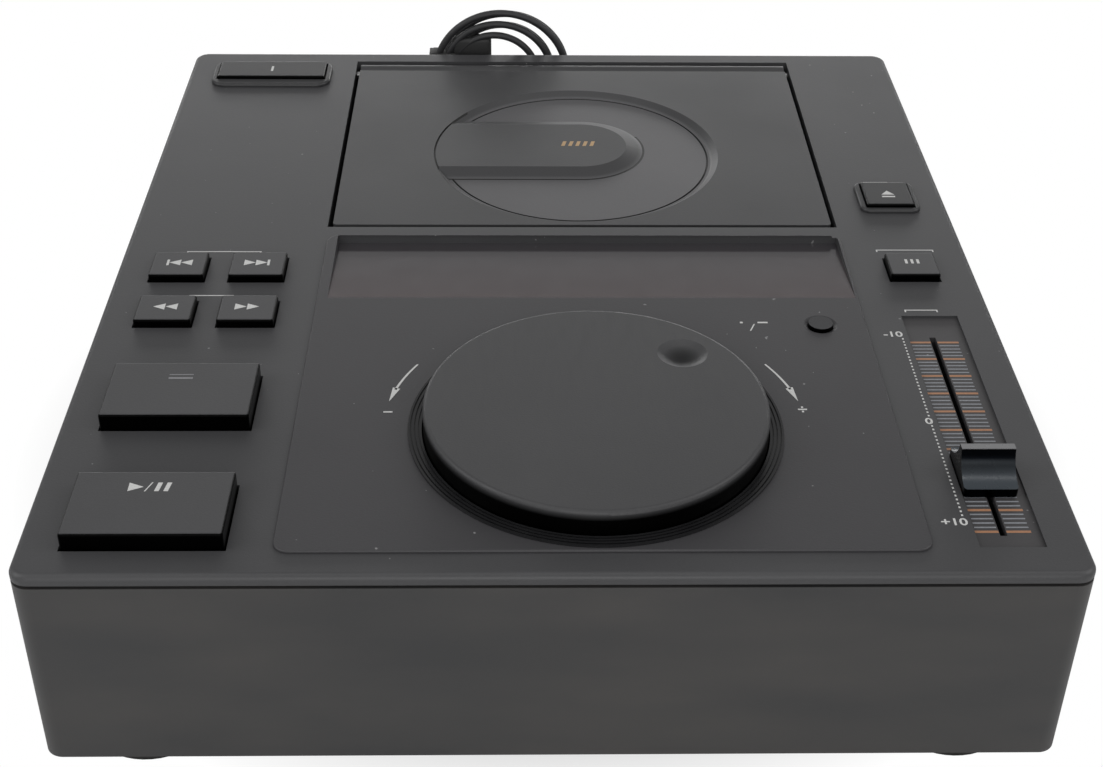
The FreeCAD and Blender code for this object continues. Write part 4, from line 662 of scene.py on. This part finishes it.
# Tempo slider: a sunk printed plate with a slot, and a glossy black knob that is hollowed on both
# sides of its crest, whose pale top is a painted highlight. Plain numbers and a dotted line stand
# beside the plate.
SCALE_Z = 83.5
SCALE_FRONT, SCALE_BACK = -163.2, -59.3
SCALE_STEPS = 10
SCALE_FINE = 5
SCALE_SIDES = ((127.4, 134.1), (137.1, 144.0))
DOT_X, DOT_FRONT, DOT_BACK, DOTS = 124.6, -156.5, -58.5, 52
NUMBERS = (("-10", 121.6, -55.6), ("0", 124.1, -107.8), ("+10", 121.5, -159.8))
NUMBER_SIZE, NUMBER_SPREAD, NUMBER_STRETCH = 4.59, 0.08, 1.15
WIDE_LINE, FINE_LINE, LINE_SPILL = 1.05, 0.62, 0.6
CREST_Z = 95.3

plate_finish = moulded("scale_plastic", (0.042, 0.040, 0.042), (0.060, 0.058, 0.060), 0.5, 0.00002)
dress(plate_finish, "tempo_scale")
orange_ink = ink_finish("orange_ink", (0.30, 0.14, 0.075), (0.42, 0.22, 0.12))
slate_ink = ink_finish("slate_ink", (0.17, 0.18, 0.20), (0.30, 0.31, 0.33))
wide_lines = []
fine_lines = []
for step in range(SCALE_STEPS * SCALE_FINE + 1):
    y = SCALE_FRONT + (SCALE_BACK - SCALE_FRONT) * step / (SCALE_STEPS * SCALE_FINE)
    for low, high in SCALE_SIDES:
        if step % SCALE_FINE == 0:
            wide_lines.append(bar((low + high) / 2, y, high - low + LINE_SPILL, WIDE_LINE))
        else:
            fine_lines.append(bar((low + high) / 2, y, high - low, FINE_LINE))
set_down([ink_shape(wide_lines, SCALE_Z)], "scale_wide_lines", orange_ink, "case", "scale")
set_down([ink_shape(fine_lines, SCALE_Z)], "scale_fine_lines", slate_ink, "case", "scale")
dots = [bar(DOT_X, DOT_FRONT + (DOT_BACK - DOT_FRONT) * step / (DOTS - 1), 0.6, 0.8)
        for step in range(DOTS)]
set_down([ink_shape(dots, PANEL_Z)], "scale_dots", white_ink, "case", "top_shell")
for number, (text, x, y) in enumerate(NUMBERS):
    font = bpy.data.curves.new("number", "FONT")
    font.body = text
    font.align_x = "CENTER"
    font.align_y = "CENTER"
    font.size = NUMBER_SIZE * MM
    font.extrude = INK_THICKNESS * MM / 2
    font.offset = NUMBER_SPREAD * MM
    letters = bpy.data.objects.new("number", font)
    bpy.context.scene.collection.objects.link(letters)
    bpy.context.view_layer.update()
    printed = bpy.data.meshes.new_from_object(letters)
    bpy.data.objects.remove(letters)
    shape = bmesh.new()
    shape.from_mesh(printed)
    bmesh.ops.scale(shape, verts=shape.verts, vec=(NUMBER_STRETCH, 1.0, 1.0))
    bmesh.ops.translate(shape, verts=shape.verts,
                        vec=Vector((x, y, PANEL_Z + INK_THICKNESS / 2)) * MM)
    set_down([shape], "scale_number_%d" % number, white_ink, "case", "top_shell")

knob_gloss = Finish("knob_gloss", (0.014, 0.015, 0.017), 0.2)
# Painted light on the knob: steep faces are near black and metallic as painted shade, lying faces
# carry a bluish painted reflection, and the crest a pale painted highlight.
lying = knob_gloss.between(knob_gloss.upward(), 0.45, 0.92)
crest_highlight = knob_gloss.axis("Z") > CREST_Z * MM
rubbing = knob_gloss.noise(150.0, 4.0)
knob_shade_and_reflection = knob_gloss.mix(lying, (0.0025, 0.003, 0.004), (0.038, 0.047, 0.056))
knob_gloss.feed("Base Color", knob_gloss.mix(crest_highlight, knob_shade_and_reflection, (0.20, 0.20, 0.205)))
knob_gloss.feed("Metallic", 1 - lying)
knob_gloss.feed("Roughness", 0.2 + rubbing * 0.14)
dress(knob_gloss, "tempo_knob")


# Electronics inside: green circuit boards, the mains transformer and its windings.
board_green = Finish("board_green", (0.02, 0.10, 0.04), 0.45)
tracks = board_green.noise(380.0, 1.0, (1.0, 5.0, 1.0)) > 0.56
board_green.feed("Base Color", board_green.mix(tracks, (0.012, 0.075, 0.030), (0.035, 0.16, 0.07)))
board_green.bump(tracks, 0.00003)
dress(board_green, "display_board", "key_board_left", "key_board_right", "main_board", "power_board")
core_finish = Finish("core_finish", (0.20, 0.19, 0.18), 0.5, Metallic=0.6)
sheets = core_finish.noise(900.0, 2.0, (1.0, 1.0, 12.0))
core_finish.feed("Base Color", core_finish.mix(sheets, (0.10, 0.095, 0.09), (0.26, 0.25, 0.24)))
core_finish.bump(sheets, 0.00006)
dress(core_finish, "power_transformer")


# Power lead: one length of round black flex. It drops from its sleeve to the table, runs to
# the middle, stands behind the case as a coil of three turns on two layers, held by a rubber
# tie, and ends in a moulded plug.
CORD_RADIUS = 1.6
EXIT = (EXIT_X, REAR_FACE + RELIEF_LENGTH, EXIT_Z)
COIL_LEFT, COIL_RIGHT, COIL_TOP = -50, 12, 103
COIL_FRONT, LAYER_STEP = 191, 4.2
LEFT_STEP, RIGHT_STEP = 3.9, 7
TURNS = 3
RUN_DROP = 17
COIL_BACK = COIL_FRONT + LAYER_STEP
ARC_HIGH = COIL_TOP - CORD_RADIUS - (COIL_RIGHT - COIL_LEFT) / 2
ARC_LOW = CORD_RADIUS + 0.1 + (COIL_RIGHT - COIL_LEFT - LEFT_STEP) / 2
PLUG_X, PLUG_Z = 72, 12.1
LEAD_STEPS = ((0, 0, 0), (0, 15.2, 0), (2, 26.8, -9.6), (7.4, 29.4, -24), (18, 23.5, -33.9),
              (29.8, 10.1, -34.2))
ARC_POINTS = 8
CORD_COLOUR = (0.024, 0.024, 0.025)


def half_turn(x_from, x_to, y, z, lift):
    """Control points of one half turn of the coil, with a matching point on each run."""
    middle = (x_from + x_to) / 2
    radius = abs(x_to - x_from) / 2
    step = math.pi / ARC_POINTS
    outer = radius / math.cos(step / 2)
    side = 1 if x_from < x_to else -1
    run = radius * math.tan(step / 2)
    points = [(x_from, y, z - lift * run)]
    for number in range(ARC_POINTS):
        angle = (number + 0.5) * step
        points.append((middle - side * outer * math.cos(angle), y, z + lift * outer * math.sin(angle)))
    points.append((x_to, y, z - lift * run))
    return points


lefts = [COIL_LEFT + LEFT_STEP * turn for turn in range(TURNS)]
rights = [COIL_RIGHT - RIGHT_STEP * turn for turn in range(TURNS)]
coil_start = (lefts[0], COIL_FRONT, ARC_LOW)
coil_end = (rights[0], COIL_BACK, ARC_LOW)
lead_route = [(EXIT[0] + x, EXIT[1] + y, EXIT[2] + z) for x, y, z in LEAD_STEPS]
lead_route += [(coil_start[0] - 10.4, coil_start[1] + 6.1, 1.8),
               (coil_start[0], coil_start[1], ARC_LOW - RUN_DROP)]
coil_route = []
for turn in range(TURNS):
    coil_route += half_turn(lefts[turn], rights[turn], COIL_FRONT, ARC_HIGH, 1)
    if turn < TURNS - 1:
        coil_route += half_turn(rights[turn], lefts[turn + 1], COIL_FRONT, ARC_LOW, -1)
coil_route += half_turn(rights[2], lefts[2], COIL_BACK, ARC_LOW, -1)
for turn in (2, 1):
    coil_route += half_turn(lefts[turn], rights[turn - 1], COIL_BACK, ARC_HIGH, 1)
    if turn > 1:
        coil_route += half_turn(rights[1], lefts[1], COIL_BACK, ARC_LOW, -1)
tail_route = [(coil_end[0], coil_end[1], ARC_LOW - RUN_DROP), (coil_end[0] + 13, coil_end[1] + 2.5, 2),
              (coil_end[0] + 30, coil_end[1] + 5.8, 3.2), (PLUG_X - 15, coil_end[1], PLUG_Z),
              (PLUG_X, coil_end[1], PLUG_Z)]

cord_curve = bpy.data.curves.new("power_lead", "CURVE")
cord_curve.dimensions = "3D"
cord_curve.bevel_depth = CORD_RADIUS * MM
cord_curve.bevel_resolution = 5
cord_curve.resolution_u = 8
cord_curve.use_fill_caps = True
spline = cord_curve.splines.new("NURBS")
route = lead_route + coil_route + tail_route
spline.points.add(len(route) - 1)
for point, spot in zip(spline.points, route):
    point.co = (*(Vector(spot) * MM), 1)
spline.order_u = 3
spline.use_endpoint_u = True
power_lead = bpy.data.objects.new("power_lead", cord_curve)
bpy.context.scene.collection.objects.link(power_lead)
jacket = Finish("cord_jacket", CORD_COLOUR, 0.42, Specular_IOR_Level=0.45)
scuffs = jacket.noise(260.0)
jacket.feed("Roughness", 0.36 + scuffs * 0.18)
jacket.feed("Base Color", jacket.mix(scuffs, (0.017, 0.017, 0.018), (0.034, 0.034, 0.036)))
jacket.bump(jacket.noise(1400.0), 0.00004)
cord_curve.materials.append(jacket.material)
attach(power_lead, "case")
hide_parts("power_cord", "power_cord_coil", "power_cord_tail")


def cushion(low, high, edge):
    """A block with well-rounded edges, between two corners in millimetres."""
    low, high = Vector(low) * MM, Vector(high) * MM
    shape = bmesh.new()
    bmesh.ops.create_cube(shape, size=1.0)
    bmesh.ops.scale(shape, verts=shape.verts, vec=high - low)
    bmesh.ops.translate(shape, verts=shape.verts, vec=(high + low) / 2)
    bmesh.ops.bevel(shape, geom=shape.edges[:], offset=edge * MM, segments=4, profile=0.5,
                    affect="EDGES", material=-1)
    return shape


TIE_LOW, TIE_HIGH = COIL_TOP - 30, COIL_TOP - 21
TIE_RIBS = (0.9, 3.0, 5.1, 7.0)

tie_shapes = [cushion((COIL_LEFT - 2.4, COIL_FRONT - 2.6, TIE_LOW),
                      (COIL_LEFT + 10.6, COIL_BACK + 2.6, TIE_HIGH), 1.9),
              cushion((COIL_LEFT + 8, COIL_FRONT - 1.5, COIL_TOP - 26),
                      (COIL_LEFT + 26.5, COIL_BACK + 1.5, COIL_TOP - 13.5), 2.2)]
tie_shapes += [cushion((COIL_LEFT - 2.7, COIL_FRONT - 2.9, TIE_LOW + low),
                       (COIL_LEFT + 10.9, COIL_BACK + 2.9, TIE_LOW + 1.2 + low), 0.5)
               for low in TIE_RIBS]
lead_tie = set_down(tie_shapes, "lead_tie", cord_rubber, "case", "cord", "cord_tie")
plug_shell = Finish("plug_shell", (0.022, 0.022, 0.022), 0.45)
plug_shell.feed("Roughness", 0.38 + plug_shell.noise(300.0) * 0.2)
plug_shell.feed("Base Color", plug_shell.mix(plug_shell.noise(50.0, 4.0), (0.014, 0.014, 0.014),
                                             (0.034, 0.034, 0.034)))
plug_shell.bump(plug_shell.noise(1500.0), 0.00002)
dress(plug_shell, "power_plug")
